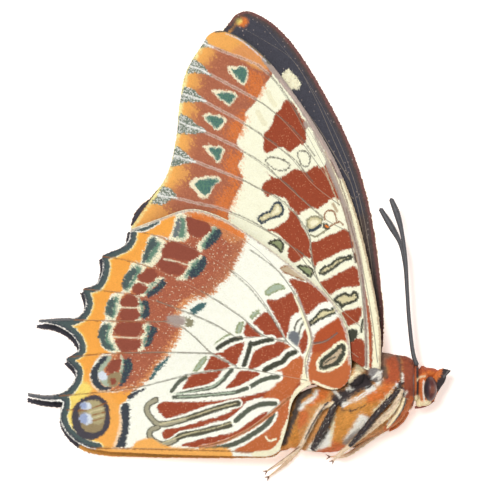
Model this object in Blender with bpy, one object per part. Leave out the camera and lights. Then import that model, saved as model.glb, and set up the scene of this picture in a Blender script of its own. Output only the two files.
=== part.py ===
"""A large tailed brush-footed butterfly, lying on its left side with its wings closed.

Lengths are in millimetres and the meshes are written in metres. +X runs towards the head, +Y from
the body towards the wing tips, and +Z away from the floor, so the right side of the insect faces
up. Outlines are named points of the reference picture, whose pixels have one real size.
"""

import math

import bmesh
import bpy
import numpy as np
from mathutils import Matrix, Vector
from mathutils.geometry import delaunay_2d_cdt

MILLIMETRE = 0.001

# The picture's scale: the forewing is 46 mm long in life and 380 pixels long in the picture.
FOREWING_LENGTH = 46.0
FOREWING_PIXELS = 380.0
PIXEL = FOREWING_LENGTH / FOREWING_PIXELS
ORIGIN_PIXEL = (238.3, 244.6)

# The clear gap between neighbours, and the level of the body's middle plane above the floor.
GAP = 0.3
BODY_LEVEL = 4.1

# The wings: a membrane with its veins raised on both faces, and four sheets stacked on the floor.
MEMBRANE = 0.5
RIDGE = 0.12
RIDGE_WIDE = 0.40
RIDGE_NARROW = 0.26
RIDGE_FADE = 1.2
PITCH = MEMBRANE + 2.0 * RIDGE + GAP
FLOOR_SHEET = MEMBRANE / 2.0 + RIDGE
OUTLINE_STEP = 2.0
VEIN_STEP = 2.4
FILL_STEP = 3.4
FILL_CLEARANCE = 1.1

# The forewings sink to the floor beyond the hindwings: slowly at the tip, quickly at the hinge.
SINK_NEAR = 3.0
SINK_FAR = 14.0
SINK_GROWTH = 0.45

# The upper wings rise over the thorax from this far away, and over the abdomen from this far.
HINGE_PIXEL = (379.0, 370.0)
HINGE_LIFT = 6.7
HINGE_REACH = 24.0
ABDOMEN_REACH = 9.0
LIFT_BLEND = 0.2
ABDOMEN_LIFTS = (
    (300.0, 426.0, 3.9),
    (272.0, 429.0, 3.4),
    (240.0, 432.0, 2.7),
    (210.0, 434.0, 1.7),
    (185.0, 437.0, 0.9),
    (165.0, 439.0, 0.3),
)

# The left wings lie turned a little from the right ones, so that their edges show past them.
FAR_FOREWING_PIVOT = (378.0, 372.0)
FAR_FOREWING_TURN = -5.0
FAR_FOREWING_STRETCH = 1.02
FAR_HINDWING_PIVOT = (370.0, 375.0)
FAR_HINDWING_TURN = 1.0
FAR_HINDWING_STRETCH = 1.004

# Outline of the right forewing, as smooth runs that meet at its corners.
FOREWING_RUNS = (
    ((380, 371), (380, 330), (371, 275), (356, 213), (333, 158), (298, 102), (262, 55), (238, 36),
     (219, 30), (208, 35), (203, 43)),
    ((203, 43), (187, 70), (180, 102), (176, 140), (167, 175), (150, 201), (131, 228)),
    ((131, 228), (175, 258), (240, 295), (300, 329), (356, 362)),
    ((356, 362), (366, 369), (380, 371)),
)

# Main veins of the right forewing, from the base outwards.
FOREWING_VEINS = {
    "subcosta": ((377, 362), (372, 320), (361, 260), (342, 195), (312, 135), (275, 82), (236, 42)),
    "radius": ((365, 362), (364, 320), (356, 255), (338, 195), (314, 147), (290, 104), (268, 74),
               (240, 58), (207, 43)),
    "media_1": ((335, 188), (317, 163), (297, 136), (272, 110), (235, 87), (191, 67)),
    "media_2": ((340, 205), (313, 184), (290, 157), (258, 133), (220, 109), (185, 94)),
    "media_3": ((349, 232), (325, 219), (295, 193), (260, 163), (220, 139), (180, 122)),
    "cubitus_1": ((364, 330), (340, 308), (318, 280), (309, 240), (295, 214), (262, 190), (220, 172),
                  (175, 156)),
    "cubitus_2": ((318, 280), (290, 245), (265, 230), (215, 208), (156, 195)),
    "anal": ((358, 357), (320, 330), (260, 293), (200, 257), (141, 221)),
}

# Outline of the right hindwing: the costa, the scalloped margin with its teeth and two tails,
# the lower lobe, and the inner edge that lies over the abdomen and the side of the thorax.
HINDWING_RUNS = (
    ((351, 362), (347, 330), (329, 297), (296, 269), (255, 238), (225, 219), (192, 209), (158, 219),
     (131, 229)),
    ((131, 229), (127, 243), (102, 256)),
    ((102, 256), (103, 268), (97, 283), (83, 289)),
    ((83, 289), (86, 304), (79, 316), (58, 318.5), (39, 320)),
    ((39, 322), (58, 326), (74, 337), (79, 349), (66, 359)),
    ((66, 359), (76, 372), (69, 388), (50, 395.5), (28, 393.5)),
    ((28, 396), (45, 400.5), (63, 402)),
    ((63, 402), (60, 417), (67, 433), (84, 446), (110, 451.5)),
    ((110, 451.5), (170, 454), (240, 455.5), (272, 454.5), (280, 449)),
    ((280, 449), (287, 425), (293, 400), (304, 388), (313, 383)),
    ((313, 383), (325, 388), (337, 388.5), (345, 384), (350, 374), (351, 362)),
)

# Main veins of the right hindwing, from the base outwards.
HINDWING_VEINS = {
    "subcosta": ((307, 378), (305, 362), (311, 340), (303, 313), (290, 287), (255, 248), (210, 223),
                 (172, 214)),
    "humeral": ((311, 345), (325, 341), (337, 333)),
    "radius": ((299, 352), (287, 341), (275, 320), (250, 285), (212, 258), (178, 243), (143, 232)),
    "media_1": ((287, 341), (265, 336), (245, 320), (200, 291), (150, 267), (106, 256)),
    "media_2": ((265, 336), (237, 337), (215, 324), (165, 304), (112, 291), (88, 289)),
    "media_3": ((237, 366), (212, 353), (183, 328), (165, 322), (130, 321), (90, 320), (50, 320.5)),
    "cubitus_1": ((212, 353), (160, 352), (120, 353), (71, 358)),
    "cubitus_2": ((307, 380), (280, 375), (238, 368), (200, 373), (140, 387), (80, 395), (40, 396.5)),
    "anal": ((285, 398), (268, 413), (235, 437), (200, 447), (140, 448), (98, 446)),
}

# Rings of the thorax: the dorsal point, the ventral point and the half width across the body.
THORAX_RINGS = (
    ((411, 367), (409.5, 397), 1.5),
    ((407.5, 359), (406, 408), 2.7),
    ((395, 354.5), (398, 420), 3.6),
    ((378, 351), (384, 431), 4.1),
    ((358, 354), (368, 439), 4.2),
    ((338, 367), (350, 448), 3.7),
    ((319, 384), (331, 452), 2.9),
    ((304, 400), (314.5, 451), 2.3),
)
DORSAL_NARROWING = 0.3
THORAX_SIDES = 24

# Rings of the abdomen: the dorsal point, the ventral point, the half width and the level.
ABDOMEN_RINGS = (
    ((300.5, 403), (310.5, 448.5), 2.0, 4.1),
    ((272, 405), (278, 452), 2.2, 3.6),
    ((240, 411), (244, 452), 2.0, 3.15),
    ((210, 418), (212, 451), 1.5, 2.65),
    ((185, 427), (186, 447), 0.9, 2.1),
    ((172, 434), (172, 444), 0.4, 1.75),
)
ABDOMEN_SEGMENTS = 8
SEGMENT_GROOVE = 0.93
ABDOMEN_SIDES = 16

# The head capsule, the domed eyes on its sides, and the palps in front of the face.
HEAD_CENTRE = (422.5, 384.5)
HEAD_RADII = (0.80, 2.30, 1.75)
EYE_CENTRE = (430.0, 388.5)
EYE_RADII = (0.83, 1.52, 1.35)
EYE_INNER_LEVEL = 1.2
PALP_PATH = ((431.5, 401), (434.5, 392), (438.5, 379.5), (444, 374), (449, 371))
PALP_HALF_WIDTHS = (0.28, 0.33, 0.80, 0.55, 0.15)
PALP_HALF_HEIGHTS = (0.28, 0.33, 0.36, 0.32, 0.15)
PALP_OFFSET = 0.52
PROBOSCIS_PATH = ((415.5, 409.5), (423, 410.3), (430, 408.5), (434.5, 405))
PROBOSCIS_RADIUS = 0.26

# The antennae rise side by side from the crown and part near their clubs.
ANTENNA_OFFSET = 0.62
ANTENNA_RADIUS = 0.25
CLUB_RADIUS = 0.37
CLUB_START = 0.80
RIGHT_ANTENNA_PATH = ((417.4, 365), (414.6, 353), (410.5, 320), (407, 270), (404, 237), (398, 211),
                      (391, 198))
LEFT_ANTENNA_PATH = ((417.4, 365), (414.6, 353), (410.5, 320), (407, 270), (402, 246), (392, 227),
                     (380, 207))

# Each leg's pieces, as runs of picture points with their level, and each point's radius.
LEGS = {
    "fore_leg_right": (
        ((404.5, 397, 7.6), (401, 406, 7.6), (394.5, 417, 7.4), (387, 427, 6.6)),
        (0.30, 0.36, 0.33, 0.18),
    ),
    "fore_leg_left": (
        ((408, 412, 2.8), (403, 420, 2.1), (396.5, 426.5, 1.7), (390, 431, 1.8)),
        (0.27, 0.33, 0.30, 0.18),
    ),
}
TWO_PART_LEGS = {
    "mid_leg_right": (
        ((349, 446, 6.9), (360, 433, 8.15), (377, 412, 8.75), (391, 397, 8.7), (401, 387.5, 8.3)),
        (0.30, 0.42, 0.44, 0.42, 0.36),
        ((401, 387.5, 8.3), (393, 407, 8.4), (378, 421, 8.1), (362, 434, 7.3), (347, 447, 6.2),
         (338, 455, 5.5), (332.5, 461, 5.0)),
        (0.34, 0.38, 0.36, 0.33, 0.29, 0.26, 0.14),
    ),
    "mid_leg_left": (
        ((352, 447, 1.7), (365, 438, 1.1), (380, 425, 0.55), (396, 412, 0.48)),
        (0.30, 0.40, 0.42, 0.34),
        ((396, 412, 0.48), (391, 425, 1.0), (378, 434, 1.5), (362, 445.5, 1.75), (345, 456, 2.0),
         (329, 457, 2.4)),
        (0.34, 0.34, 0.34, 0.31, 0.27, 0.14),
    ),
    "hind_leg_right": (
        ((312, 449, 6.2), (319, 436, 7.3), (327, 420, 8.1), (335, 402, 8.15)),
        (0.32, 0.44, 0.46, 0.36),
        ((335, 402, 8.15), (322, 407, 7.8), (310, 427, 7.3), (299, 447, 6.4), (285, 459, 5.6),
         (266, 471.5, 4.6)),
        (0.32, 0.34, 0.31, 0.28, 0.26, 0.14),
    ),
    "hind_leg_left": (
        ((318, 447, 1.45), (325, 434, 0.6), (330, 421, 0.3), (336, 405, 0.27)),
        (0.30, 0.32, 0.28, 0.26),
        ((336, 405, 0.27), (322, 411, 0.33), (310, 429, 0.55), (301, 447, 0.9), (288, 462, 0.9),
         (268, 478, 0.7)),
        (0.26, 0.30, 0.31, 0.28, 0.26, 0.14),
    ),
}
LIMB_SIDES = 10
LIMB_STEP = 1.1

# Colours and roughness of the materials.
FOREWING_COLOUR = (0.47, 0.11, 0.04, 1.0)
HINDWING_COLOUR = (0.62, 0.25, 0.09, 1.0)
THORAX_COLOUR = (0.50, 0.20, 0.04, 1.0)
ABDOMEN_COLOUR = (0.55, 0.30, 0.12, 1.0)
EYE_COLOUR = (0.10, 0.025, 0.02, 1.0)
PALP_COLOUR = (0.55, 0.16, 0.05, 1.0)
DARK_COLOUR = (0.04, 0.04, 0.045, 1.0)
LEG_COLOUR = (0.70, 0.55, 0.38, 1.0)
SCALE_ROUGHNESS = 0.75
EYE_ROUGHNESS = 0.25
SHELL_ROUGHNESS = 0.5


def clear_scene() -> None:
    for item in list(bpy.data.objects):
        bpy.data.objects.remove(item, do_unlink=True)


def plan(points) -> np.ndarray:
    """Picture points as x and y in millimetres."""
    flat = np.asarray([point[:2] for point in points], dtype=float)
    return np.column_stack(
        ((flat[:, 0] - ORIGIN_PIXEL[0]) * PIXEL, (ORIGIN_PIXEL[1] - flat[:, 1]) * PIXEL)
    )


def smooth_run(points: np.ndarray, step: float) -> np.ndarray:
    """A curve through the points, sampled about every step along its length."""
    padded = np.vstack((2 * points[0] - points[1], points, 2 * points[-1] - points[-2]))
    samples = []
    for index in range(1, len(padded) - 2):
        before, start, end, after = padded[index - 1:index + 3]
        width = padded.shape[1]
        lengths = [max(math.dist(a[:width], b[:width]), 1e-6) ** 0.5
                   for a, b in ((before, start), (start, end), (end, after))]
        enter = (start - before) / lengths[0] - (end - before) / (lengths[0] + lengths[1])
        enter = enter + (end - start) / lengths[1]
        leave = (end - start) / lengths[1] - (after - start) / (lengths[1] + lengths[2])
        leave = leave + (after - end) / lengths[2]
        count = max(1, round(math.dist(start, end) / step))
        for t in np.arange(count) / count:
            samples.append(
                (2 * t**3 - 3 * t**2 + 1) * start + (t**3 - 2 * t**2 + t) * lengths[1] * enter
                + (3 * t**2 - 2 * t**3) * end + (t**3 - t**2) * lengths[1] * leave
            )
    samples.append(padded[-2])
    return np.array(samples)


def closed_outline(runs) -> np.ndarray:
    """The runs joined to one loop without repeated corners."""
    loop = []
    for run in runs:
        for point in smooth_run(plan(run), OUTLINE_STEP):
            if not loop or math.dist(point, loop[-1]) > GAP / 3.0:
                loop.append(point)
    if math.dist(loop[0], loop[-1]) < GAP / 3.0:
        loop.pop()
    return np.array(loop)


def turned(points: np.ndarray, pivot_pixel, degrees: float, stretch: float) -> np.ndarray:
    """Points turned and stretched in the plane about a picture point."""
    pivot = plan((pivot_pixel,))[0]
    angle = math.radians(degrees)
    turn = np.array(((math.cos(angle), -math.sin(angle)), (math.sin(angle), math.cos(angle))))
    return (points - pivot) @ turn.T * stretch + pivot


def distance_to_line(points: np.ndarray, line: np.ndarray) -> np.ndarray:
    starts = line[:-1][None]
    spans = line[1:][None] - starts
    offsets = points[:, None] - starts
    along = (offsets * spans).sum(axis=2) / np.maximum((spans**2).sum(axis=2), 1e-12)
    along = np.clip(along, 0.0, 1.0)
    return np.linalg.norm(offsets - along[..., None] * spans, axis=2).min(axis=1)


def is_inside(points: np.ndarray, loop: np.ndarray) -> np.ndarray:
    """True where a point lies inside the loop, by counting crossings."""
    x, y = points[:, 0][:, None], points[:, 1][:, None]
    start, end = loop, np.roll(loop, -1, axis=0)
    spans_level = (start[:, 1] > y) != (end[:, 1] > y)
    rise = end[:, 1] - start[:, 1]
    rise = np.where(np.abs(rise) < 1e-12, 1e-12, rise)
    crossing = start[:, 0] + (y - start[:, 1]) * (end[:, 0] - start[:, 0]) / rise
    return ((spans_level & (x < crossing)).sum(axis=1) % 2).astype(bool)


def smoothstep(values: np.ndarray) -> np.ndarray:
    clipped = np.clip(values, 0.0, 1.0)
    return clipped * clipped * (3.0 - 2.0 * clipped)


def hindwing_cover(points: np.ndarray, loops) -> np.ndarray:
    """One over the hindwings, falling to zero with distance beyond their edges."""
    outside = np.full(len(points), np.inf)
    for loop in loops:
        distance = distance_to_line(points, np.vstack((loop, loop[:1])))
        outside = np.minimum(outside, np.where(is_inside(points, loop), 0.0, distance))
    from_hinge = np.linalg.norm(points - plan((HINGE_PIXEL,)), axis=1)
    width = np.clip(SINK_GROWTH * from_hinge, SINK_NEAR, SINK_FAR)
    return smoothstep(1.0 - outside / width)


def body_lift(points: np.ndarray, with_abdomen: bool) -> np.ndarray:
    """How far the upper wings rise over the body."""
    from_hinge = np.linalg.norm(points - plan((HINGE_PIXEL,)), axis=1)
    lift = HINGE_LIFT * np.clip(1.0 - from_hinge / HINGE_REACH, 0.0, 1.0) ** 2
    if not with_abdomen:
        return lift
    core = np.column_stack((plan(ABDOMEN_LIFTS), [row[2] for row in ABDOMEN_LIFTS]))
    bump = np.zeros(len(points))
    for x, y, height in smooth_run(core, 1.0):
        reach = np.hypot(points[:, 0] - x, points[:, 1] - y) / ABDOMEN_REACH
        bump = np.maximum(bump, height * np.clip(1.0 - reach**2, 0.0, 1.0) ** 2)
    return 0.5 * (lift + bump + np.sqrt((lift - bump) ** 2 + LIFT_BLEND**2))


def vein_rows(veins: dict, outline: np.ndarray, move) -> list:
    """Each vein as its middle row, its two side rows and the half width at each step."""
    rows = []
    edge = np.vstack((outline, outline[:1]))
    for points in veins.values():
        middle = move(smooth_run(plan(points), VEIN_STEP))
        middle = middle[distance_to_line(middle, edge) > RIDGE_NARROW]
        tangent = np.gradient(middle, axis=0)
        tangent /= np.linalg.norm(tangent, axis=1)[:, None]
        half = np.linspace(RIDGE_WIDE, RIDGE_NARROW, len(middle))
        side = np.column_stack((-tangent[:, 1], tangent[:, 0])) * half[:, None]
        rows.append((middle, middle + side, middle - side, half))
    return rows


def ridge_height(points: np.ndarray, rows: list, outline: np.ndarray) -> np.ndarray:
    """The veins' height at each point, none at the wing's edge."""
    height = np.zeros(len(points))
    for middle, _, _, half in rows:
        width = half.mean()
        height = np.maximum(height, 1.0 - distance_to_line(points, middle) / width)
    edge = distance_to_line(points, np.vstack((outline, outline[:1])))
    return RIDGE * np.clip(height, 0.0, 1.0) * smoothstep(edge / RIDGE_FADE)


def triangulate(outline: np.ndarray, rows: list) -> tuple:
    """Points and triangles of the wing's plan, with an edge along every vein."""
    edge = np.vstack((outline, outline[:1]))
    points = [Vector(point) for point in outline]
    edges = [(i, (i + 1) % len(outline)) for i in range(len(outline))]
    lines = []
    for middle, left, right, _ in rows:
        for row in (middle, left, right):
            clear = is_inside(row, outline) & (distance_to_line(row, edge) > RIDGE_NARROW)
            start = len(points)
            kept = row[clear]
            points.extend(Vector(point) for point in kept)
            edges.extend((start + i, start + i + 1) for i in range(len(kept) - 1))
            lines.append(row)
    low, high = outline.min(axis=0), outline.max(axis=0)
    fill = []
    for line_index, y in enumerate(np.arange(low[1], high[1], FILL_STEP * math.sqrt(3.0) / 2.0)):
        shift = FILL_STEP / 2.0 * (line_index % 2)
        fill.extend((x, y) for x in np.arange(low[0] + shift, high[0], FILL_STEP))
    fill = np.array(fill)
    keep = is_inside(fill, outline) & (distance_to_line(fill, edge) > FILL_CLEARANCE)
    for line in lines:
        keep &= distance_to_line(fill, line) > FILL_CLEARANCE
    points.extend(Vector(point) for point in fill[keep])
    found = delaunay_2d_cdt(points, edges, [], 1, 0.04)
    flat = np.array([tuple(point) for point in found[0]])
    return flat, [tuple(face) for face in found[2]]


def sheet_mesh(flat: np.ndarray, faces: list, middle: np.ndarray, half: np.ndarray):
    """A closed sheet with the same triangles on both faces and a wall round its edge."""
    mesh = bmesh.new()
    top = [mesh.verts.new((x * MILLIMETRE, y * MILLIMETRE, (z + h) * MILLIMETRE))
           for (x, y), z, h in zip(flat, middle, half)]
    low = [mesh.verts.new((x * MILLIMETRE, y * MILLIMETRE, (z - h) * MILLIMETRE))
           for (x, y), z, h in zip(flat, middle, half)]
    directed = set()
    for a, b, c in faces:
        mesh.faces.new((top[a], top[b], top[c]))
        mesh.faces.new((low[c], low[b], low[a]))
        directed.update(((a, b), (b, c), (c, a)))
    for a, b in sorted(directed):
        if (b, a) not in directed:
            mesh.faces.new((top[b], top[a], low[a]))
            mesh.faces.new((top[b], low[a], low[b]))
    return mesh


def principled(name: str, colour, roughness: float):
    material = bpy.data.materials.new(name)
    material.use_nodes = True
    shader = material.node_tree.nodes["Principled BSDF"]
    shader.inputs["Base Color"].default_value = colour
    shader.inputs["Roughness"].default_value = roughness
    shader.inputs["Metallic"].default_value = 0.0
    return material


def add_object(name: str, source, colour, roughness: float, smooth: bool):
    """One named object from a bmesh, with a material of its own."""
    mesh = bpy.data.meshes.new(name)
    bmesh.ops.remove_doubles(source, verts=source.verts, dist=1e-6)
    bmesh.ops.recalc_face_normals(source, faces=source.faces)
    source.to_mesh(mesh)
    source.free()
    if smooth:
        mesh.shade_smooth()
    item = bpy.data.objects.new(name, mesh)
    item.data.materials.append(principled(name, colour, roughness))
    bpy.context.scene.collection.objects.link(item)
    return item


def skin_rings(rings: list, caps: tuple):
    """A closed skin over rings of equal count, with a fan to a point at each end."""
    mesh = bmesh.new()
    skins = [[mesh.verts.new(Vector(point) * MILLIMETRE) for point in ring] for ring in rings]
    count = len(skins[0])
    for first, second in zip(skins, skins[1:]):
        for i in range(count):
            j = (i + 1) % count
            mesh.faces.new((first[i], first[j], second[j], second[i]))
    for ring, point in ((skins[0], caps[0]), (skins[-1], caps[1])):
        tip = mesh.verts.new(Vector(point) * MILLIMETRE)
        for i in range(count):
            mesh.faces.new((ring[i], ring[(i + 1) % count], tip))
    return mesh


def flank_ring(dorsal: np.ndarray, ventral: np.ndarray, half_width: float, level: float,
               narrowing: float, sides: int) -> np.ndarray:
    """A body section between two plan points, narrower above its middle."""
    centre = (dorsal + ventral) / 2.0
    reach = (dorsal - ventral) / 2.0
    ring = []
    for angle in np.arange(sides) * math.tau / sides:
        up = math.cos(angle)
        across = math.sin(angle) * half_width * (1.0 - narrowing * max(up, 0.0))
        ring.append((*(centre + reach * up), level + across))
    return np.array(ring)


def between_rows(rows: np.ndarray, count: int) -> np.ndarray:
    """Rows read at even steps of a smooth curve through them."""
    fine = smooth_run(rows, 0.05)
    length = np.concatenate(([0.0], np.cumsum(np.linalg.norm(np.diff(fine, axis=0), axis=1))))
    wanted = np.linspace(0.0, length[-1], count)
    return np.column_stack([np.interp(wanted, length, fine[:, i]) for i in range(fine.shape[1])])


def build_thorax() -> None:
    rows = np.column_stack((
        plan([ring[0] for ring in THORAX_RINGS]),
        plan([ring[1] for ring in THORAX_RINGS]),
        [ring[2] for ring in THORAX_RINGS],
    ))
    rings = [flank_ring(row[:2], row[2:4], row[4], BODY_LEVEL, DORSAL_NARROWING, THORAX_SIDES)
             for row in between_rows(rows, 15)]
    mesh = skin_rings(rings, (rings[0].mean(axis=0), rings[-1].mean(axis=0)))
    cut = bmesh.ops.bisect_plane(
        mesh, geom=mesh.verts[:] + mesh.edges[:] + mesh.faces[:], dist=1e-7,
        plane_co=(0.0, 0.0, 0.0), plane_no=(0.0, 0.0, -1.0), clear_outer=True,
    )
    rim = [item for item in cut["geom_cut"] if isinstance(item, bmesh.types.BMEdge)]
    bmesh.ops.contextual_create(mesh, geom=rim)
    add_object("thorax", mesh, THORAX_COLOUR, SCALE_ROUGHNESS, True)


def build_abdomen() -> None:
    rows = np.column_stack((
        plan([ring[0] for ring in ABDOMEN_RINGS]),
        plan([ring[1] for ring in ABDOMEN_RINGS]),
        [ring[2] for ring in ABDOMEN_RINGS],
        [ring[3] for ring in ABDOMEN_RINGS],
    ))
    rings = []
    for index, row in enumerate(between_rows(rows, 3 * ABDOMEN_SEGMENTS + 1)):
        ring = flank_ring(row[:2], row[2:4], row[4], row[5], 0.0, ABDOMEN_SIDES)
        groove = SEGMENT_GROOVE if index % 3 == 0 else 1.0
        rings.append(ring.mean(axis=0) + (ring - ring.mean(axis=0)) * groove)
    mesh = skin_rings(rings, (rings[0].mean(axis=0), rings[-1].mean(axis=0)))
    add_object("abdomen", mesh, ABDOMEN_COLOUR, SCALE_ROUGHNESS, True)


def sweep(path: np.ndarray, half_widths: np.ndarray, half_heights: np.ndarray, sides: int):
    """A closed tapering bar along a path, with rounded ends."""
    tangent = np.gradient(path, axis=0)
    tangent /= np.linalg.norm(tangent, axis=1)[:, None]
    side = np.cross((0.0, 0.0, 1.0), tangent)
    side /= np.linalg.norm(side, axis=1)[:, None]
    up = np.cross(tangent, side)
    rings = []
    for index, centre in enumerate(path):
        angles = np.arange(sides) * math.tau / sides
        across = np.outer(np.cos(angles), side[index]) * half_widths[index]
        rings.append(centre + across + np.outer(np.sin(angles), up[index]) * half_heights[index])
    start = path[0] - tangent[0] * half_widths[0] * 0.6
    end = path[-1] + tangent[-1] * half_widths[-1] * 0.6
    return skin_rings(rings, (start, end))


def limb_rows(points, radii) -> np.ndarray:
    """x, y, level and radius along a limb's piece."""
    rows = np.column_stack((plan(points), [point[2] for point in points], radii))
    return smooth_run(rows, LIMB_STEP)


def build_one_piece_legs() -> None:
    for name, (points, radii) in LEGS.items():
        rows = limb_rows(points, radii)
        mesh = sweep(rows[:, :3], rows[:, 3], rows[:, 3], LIMB_SIDES)
        add_object(name, mesh, LEG_COLOUR, SCALE_ROUGHNESS, True)


def join(target, pieces: list) -> None:
    """Fuses closed pieces into the target and keeps its largest closed surface."""
    group = bpy.data.collections.new(target.name + "_pieces")
    bpy.context.scene.collection.children.link(group)
    for piece in pieces:
        bpy.context.scene.collection.objects.unlink(piece)
        group.objects.link(piece)
    cut = target.modifiers.new("join", "BOOLEAN")
    cut.operation = "UNION"
    cut.operand_type = "COLLECTION"
    cut.collection = group
    cut.solver = "EXACT"
    apply_modifiers(target)
    for piece in pieces:
        bpy.data.objects.remove(piece, do_unlink=True)
    bpy.data.collections.remove(group)
    keep_largest(target)


def apply_modifiers(item) -> None:
    graph = bpy.context.evaluated_depsgraph_get()
    mesh = bpy.data.meshes.new_from_object(item.evaluated_get(graph))
    item.modifiers.clear()
    item.data = mesh
    mesh.name = item.name


def keep_largest(item) -> None:
    """Removes all but the largest connected surface."""
    mesh = bmesh.new()
    mesh.from_mesh(item.data)
    left = set(mesh.verts)
    islands = []
    while left:
        stack = [left.pop()]
        island = set(stack)
        while stack:
            for edge in stack.pop().link_edges:
                for vert in edge.verts:
                    if vert in left:
                        left.discard(vert)
                        island.add(vert)
                        stack.append(vert)
        islands.append(island)
    islands.sort(key=len)
    for island in islands[:-1]:
        bmesh.ops.delete(mesh, geom=list(island), context="VERTS")
    mesh.to_mesh(item.data)
    mesh.free()


def build_two_part_legs() -> None:
    for name, (thigh, thigh_radii, shin, shin_radii) in TWO_PART_LEGS.items():
        pieces = []
        for label, points, radii in (("", thigh, thigh_radii), ("_shin", shin, shin_radii)):
            rows = limb_rows(points, radii)
            mesh = sweep(rows[:, :3], rows[:, 3], rows[:, 3], LIMB_SIDES)
            pieces.append(add_object(name + label, mesh, LEG_COLOUR, SCALE_ROUGHNESS, True))
        join(pieces[0], pieces[1:])


def ellipsoid(centre, radii, segments: int, rings: int):
    mesh = bmesh.new()
    bmesh.ops.create_uvsphere(mesh, u_segments=segments, v_segments=rings, radius=1.0)
    scale = Matrix.Diagonal((*(radius * MILLIMETRE for radius in radii), 1.0))
    place = Matrix.Translation(Vector(centre) * MILLIMETRE)
    bmesh.ops.transform(mesh, matrix=place @ scale, verts=mesh.verts)
    return mesh


def eye_dome(side: int, inflate: float):
    """The outer half of an eye, cut flat towards the middle of the head."""
    x, y = plan((EYE_CENTRE,))[0]
    inner = BODY_LEVEL + side * EYE_INNER_LEVEL
    radii = [radius + inflate for radius in EYE_RADII]
    mesh = ellipsoid((x, y, inner), radii, 20, 14)
    cut = bmesh.ops.bisect_plane(
        mesh, geom=mesh.verts[:] + mesh.edges[:] + mesh.faces[:], dist=1e-7,
        plane_co=(0.0, 0.0, (inner - side * inflate) * MILLIMETRE), plane_no=(0.0, 0.0, -side),
        clear_outer=True,
    )
    rim = [item for item in cut["geom_cut"] if isinstance(item, bmesh.types.BMEdge)]
    bmesh.ops.contextual_create(mesh, geom=rim)
    return mesh


def build_head() -> None:
    """The head capsule, with a seat cut for each eye, and the two eyes."""
    x, y = plan((HEAD_CENTRE,))[0]
    head = add_object("head", ellipsoid((x, y, BODY_LEVEL), HEAD_RADII, 20, 14), PALP_COLOUR,
                      SCALE_ROUGHNESS, True)
    for name, side in (("eye_right", 1), ("eye_left", -1)):
        add_object(name, eye_dome(side, 0.0), EYE_COLOUR, EYE_ROUGHNESS, True)
        seat = add_object(name + "_seat", eye_dome(side, GAP), EYE_COLOUR, EYE_ROUGHNESS, True)
        cut = head.modifiers.new(name, "BOOLEAN")
        cut.operation = "DIFFERENCE"
        cut.object = seat
        cut.solver = "EXACT"
        apply_modifiers(head)
        bpy.data.objects.remove(seat, do_unlink=True)
    keep_largest(head)


def build_mouthparts() -> None:
    """The two palps in front of the face and the rolled tongue under the chin."""
    for name, side in (("palp_right", 1), ("palp_left", -1)):
        level = BODY_LEVEL + side * PALP_OFFSET
        rows = smooth_run(
            np.column_stack((plan(PALP_PATH), np.full(len(PALP_PATH), level), PALP_HALF_WIDTHS,
                             PALP_HALF_HEIGHTS)), 0.6)
        mesh = sweep(rows[:, :3], rows[:, 3], rows[:, 4], LIMB_SIDES)
        add_object(name, mesh, PALP_COLOUR, SCALE_ROUGHNESS, True)
    path = smooth_run(
        np.column_stack((plan(PROBOSCIS_PATH), np.full(len(PROBOSCIS_PATH), BODY_LEVEL))), 0.5)
    radii = np.full(len(path), PROBOSCIS_RADIUS)
    add_object("proboscis", sweep(path, radii, radii, 8), DARK_COLOUR, SHELL_ROUGHNESS, True)


def build_antennae() -> None:
    """Two long antennae, each thickening to a club at its end."""
    for name, side, points in (
        ("antenna_right", 1, RIGHT_ANTENNA_PATH),
        ("antenna_left", -1, LEFT_ANTENNA_PATH),
    ):
        flat = smooth_run(plan(points), 1.3)
        path = np.column_stack((flat, np.full(len(flat), BODY_LEVEL + side * ANTENNA_OFFSET)))
        along = np.linspace(0.0, 1.0, len(path))
        club = np.sin(np.clip((along - CLUB_START) / (1.0 - CLUB_START), 0.0, 1.0) * math.pi * 0.8)
        radii = ANTENNA_RADIUS + (CLUB_RADIUS - ANTENNA_RADIUS) * club
        add_object(name, sweep(path, radii, radii, 8), DARK_COLOUR, SHELL_ROUGHNESS, True)


def build_wing(name: str, outline: np.ndarray, veins: dict, move, level, colour) -> None:
    """One wing from its outline and veins, at the level that its points are given."""
    rows = vein_rows(veins, outline, move)
    flat, faces = triangulate(outline, rows)
    half = MEMBRANE / 2.0 + ridge_height(flat, rows, outline)
    mesh = sheet_mesh(flat, faces, level(flat), half)
    add_object(name, mesh, colour, SCALE_ROUGHNESS, False)


def build_wings() -> None:
    """The four closed wings, stacked from the floor up: left pair below, right pair above."""
    def stay(points):
        return points

    def turn_forewing(points):
        return turned(points, FAR_FOREWING_PIVOT, FAR_FOREWING_TURN, FAR_FOREWING_STRETCH)

    def turn_hindwing(points):
        return turned(points, FAR_HINDWING_PIVOT, FAR_HINDWING_TURN, FAR_HINDWING_STRETCH)

    forewing = closed_outline(FOREWING_RUNS)
    hindwing = closed_outline(HINDWING_RUNS)
    hindwings = (hindwing, turn_hindwing(hindwing))

    def hindwing_left_level(points):
        return np.full(len(points), FLOOR_SHEET)

    def forewing_left_level(points):
        return FLOOR_SHEET + PITCH * hindwing_cover(points, hindwings)

    def forewing_right_level(points):
        return forewing_left_level(points) + PITCH + body_lift(points, False)

    def hindwing_right_level(points):
        return FLOOR_SHEET + 3.0 * PITCH + body_lift(points, True)

    build_wing("hindwing_left", turn_hindwing(hindwing), HINDWING_VEINS, turn_hindwing,
               hindwing_left_level, HINDWING_COLOUR)
    build_wing("forewing_left", turn_forewing(forewing), FOREWING_VEINS, turn_forewing,
               forewing_left_level, FOREWING_COLOUR)
    build_wing("forewing_right", forewing, FOREWING_VEINS, stay, forewing_right_level,
               FOREWING_COLOUR)
    build_wing("hindwing_right", hindwing, HINDWING_VEINS, stay, hindwing_right_level,
               HINDWING_COLOUR)


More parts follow.
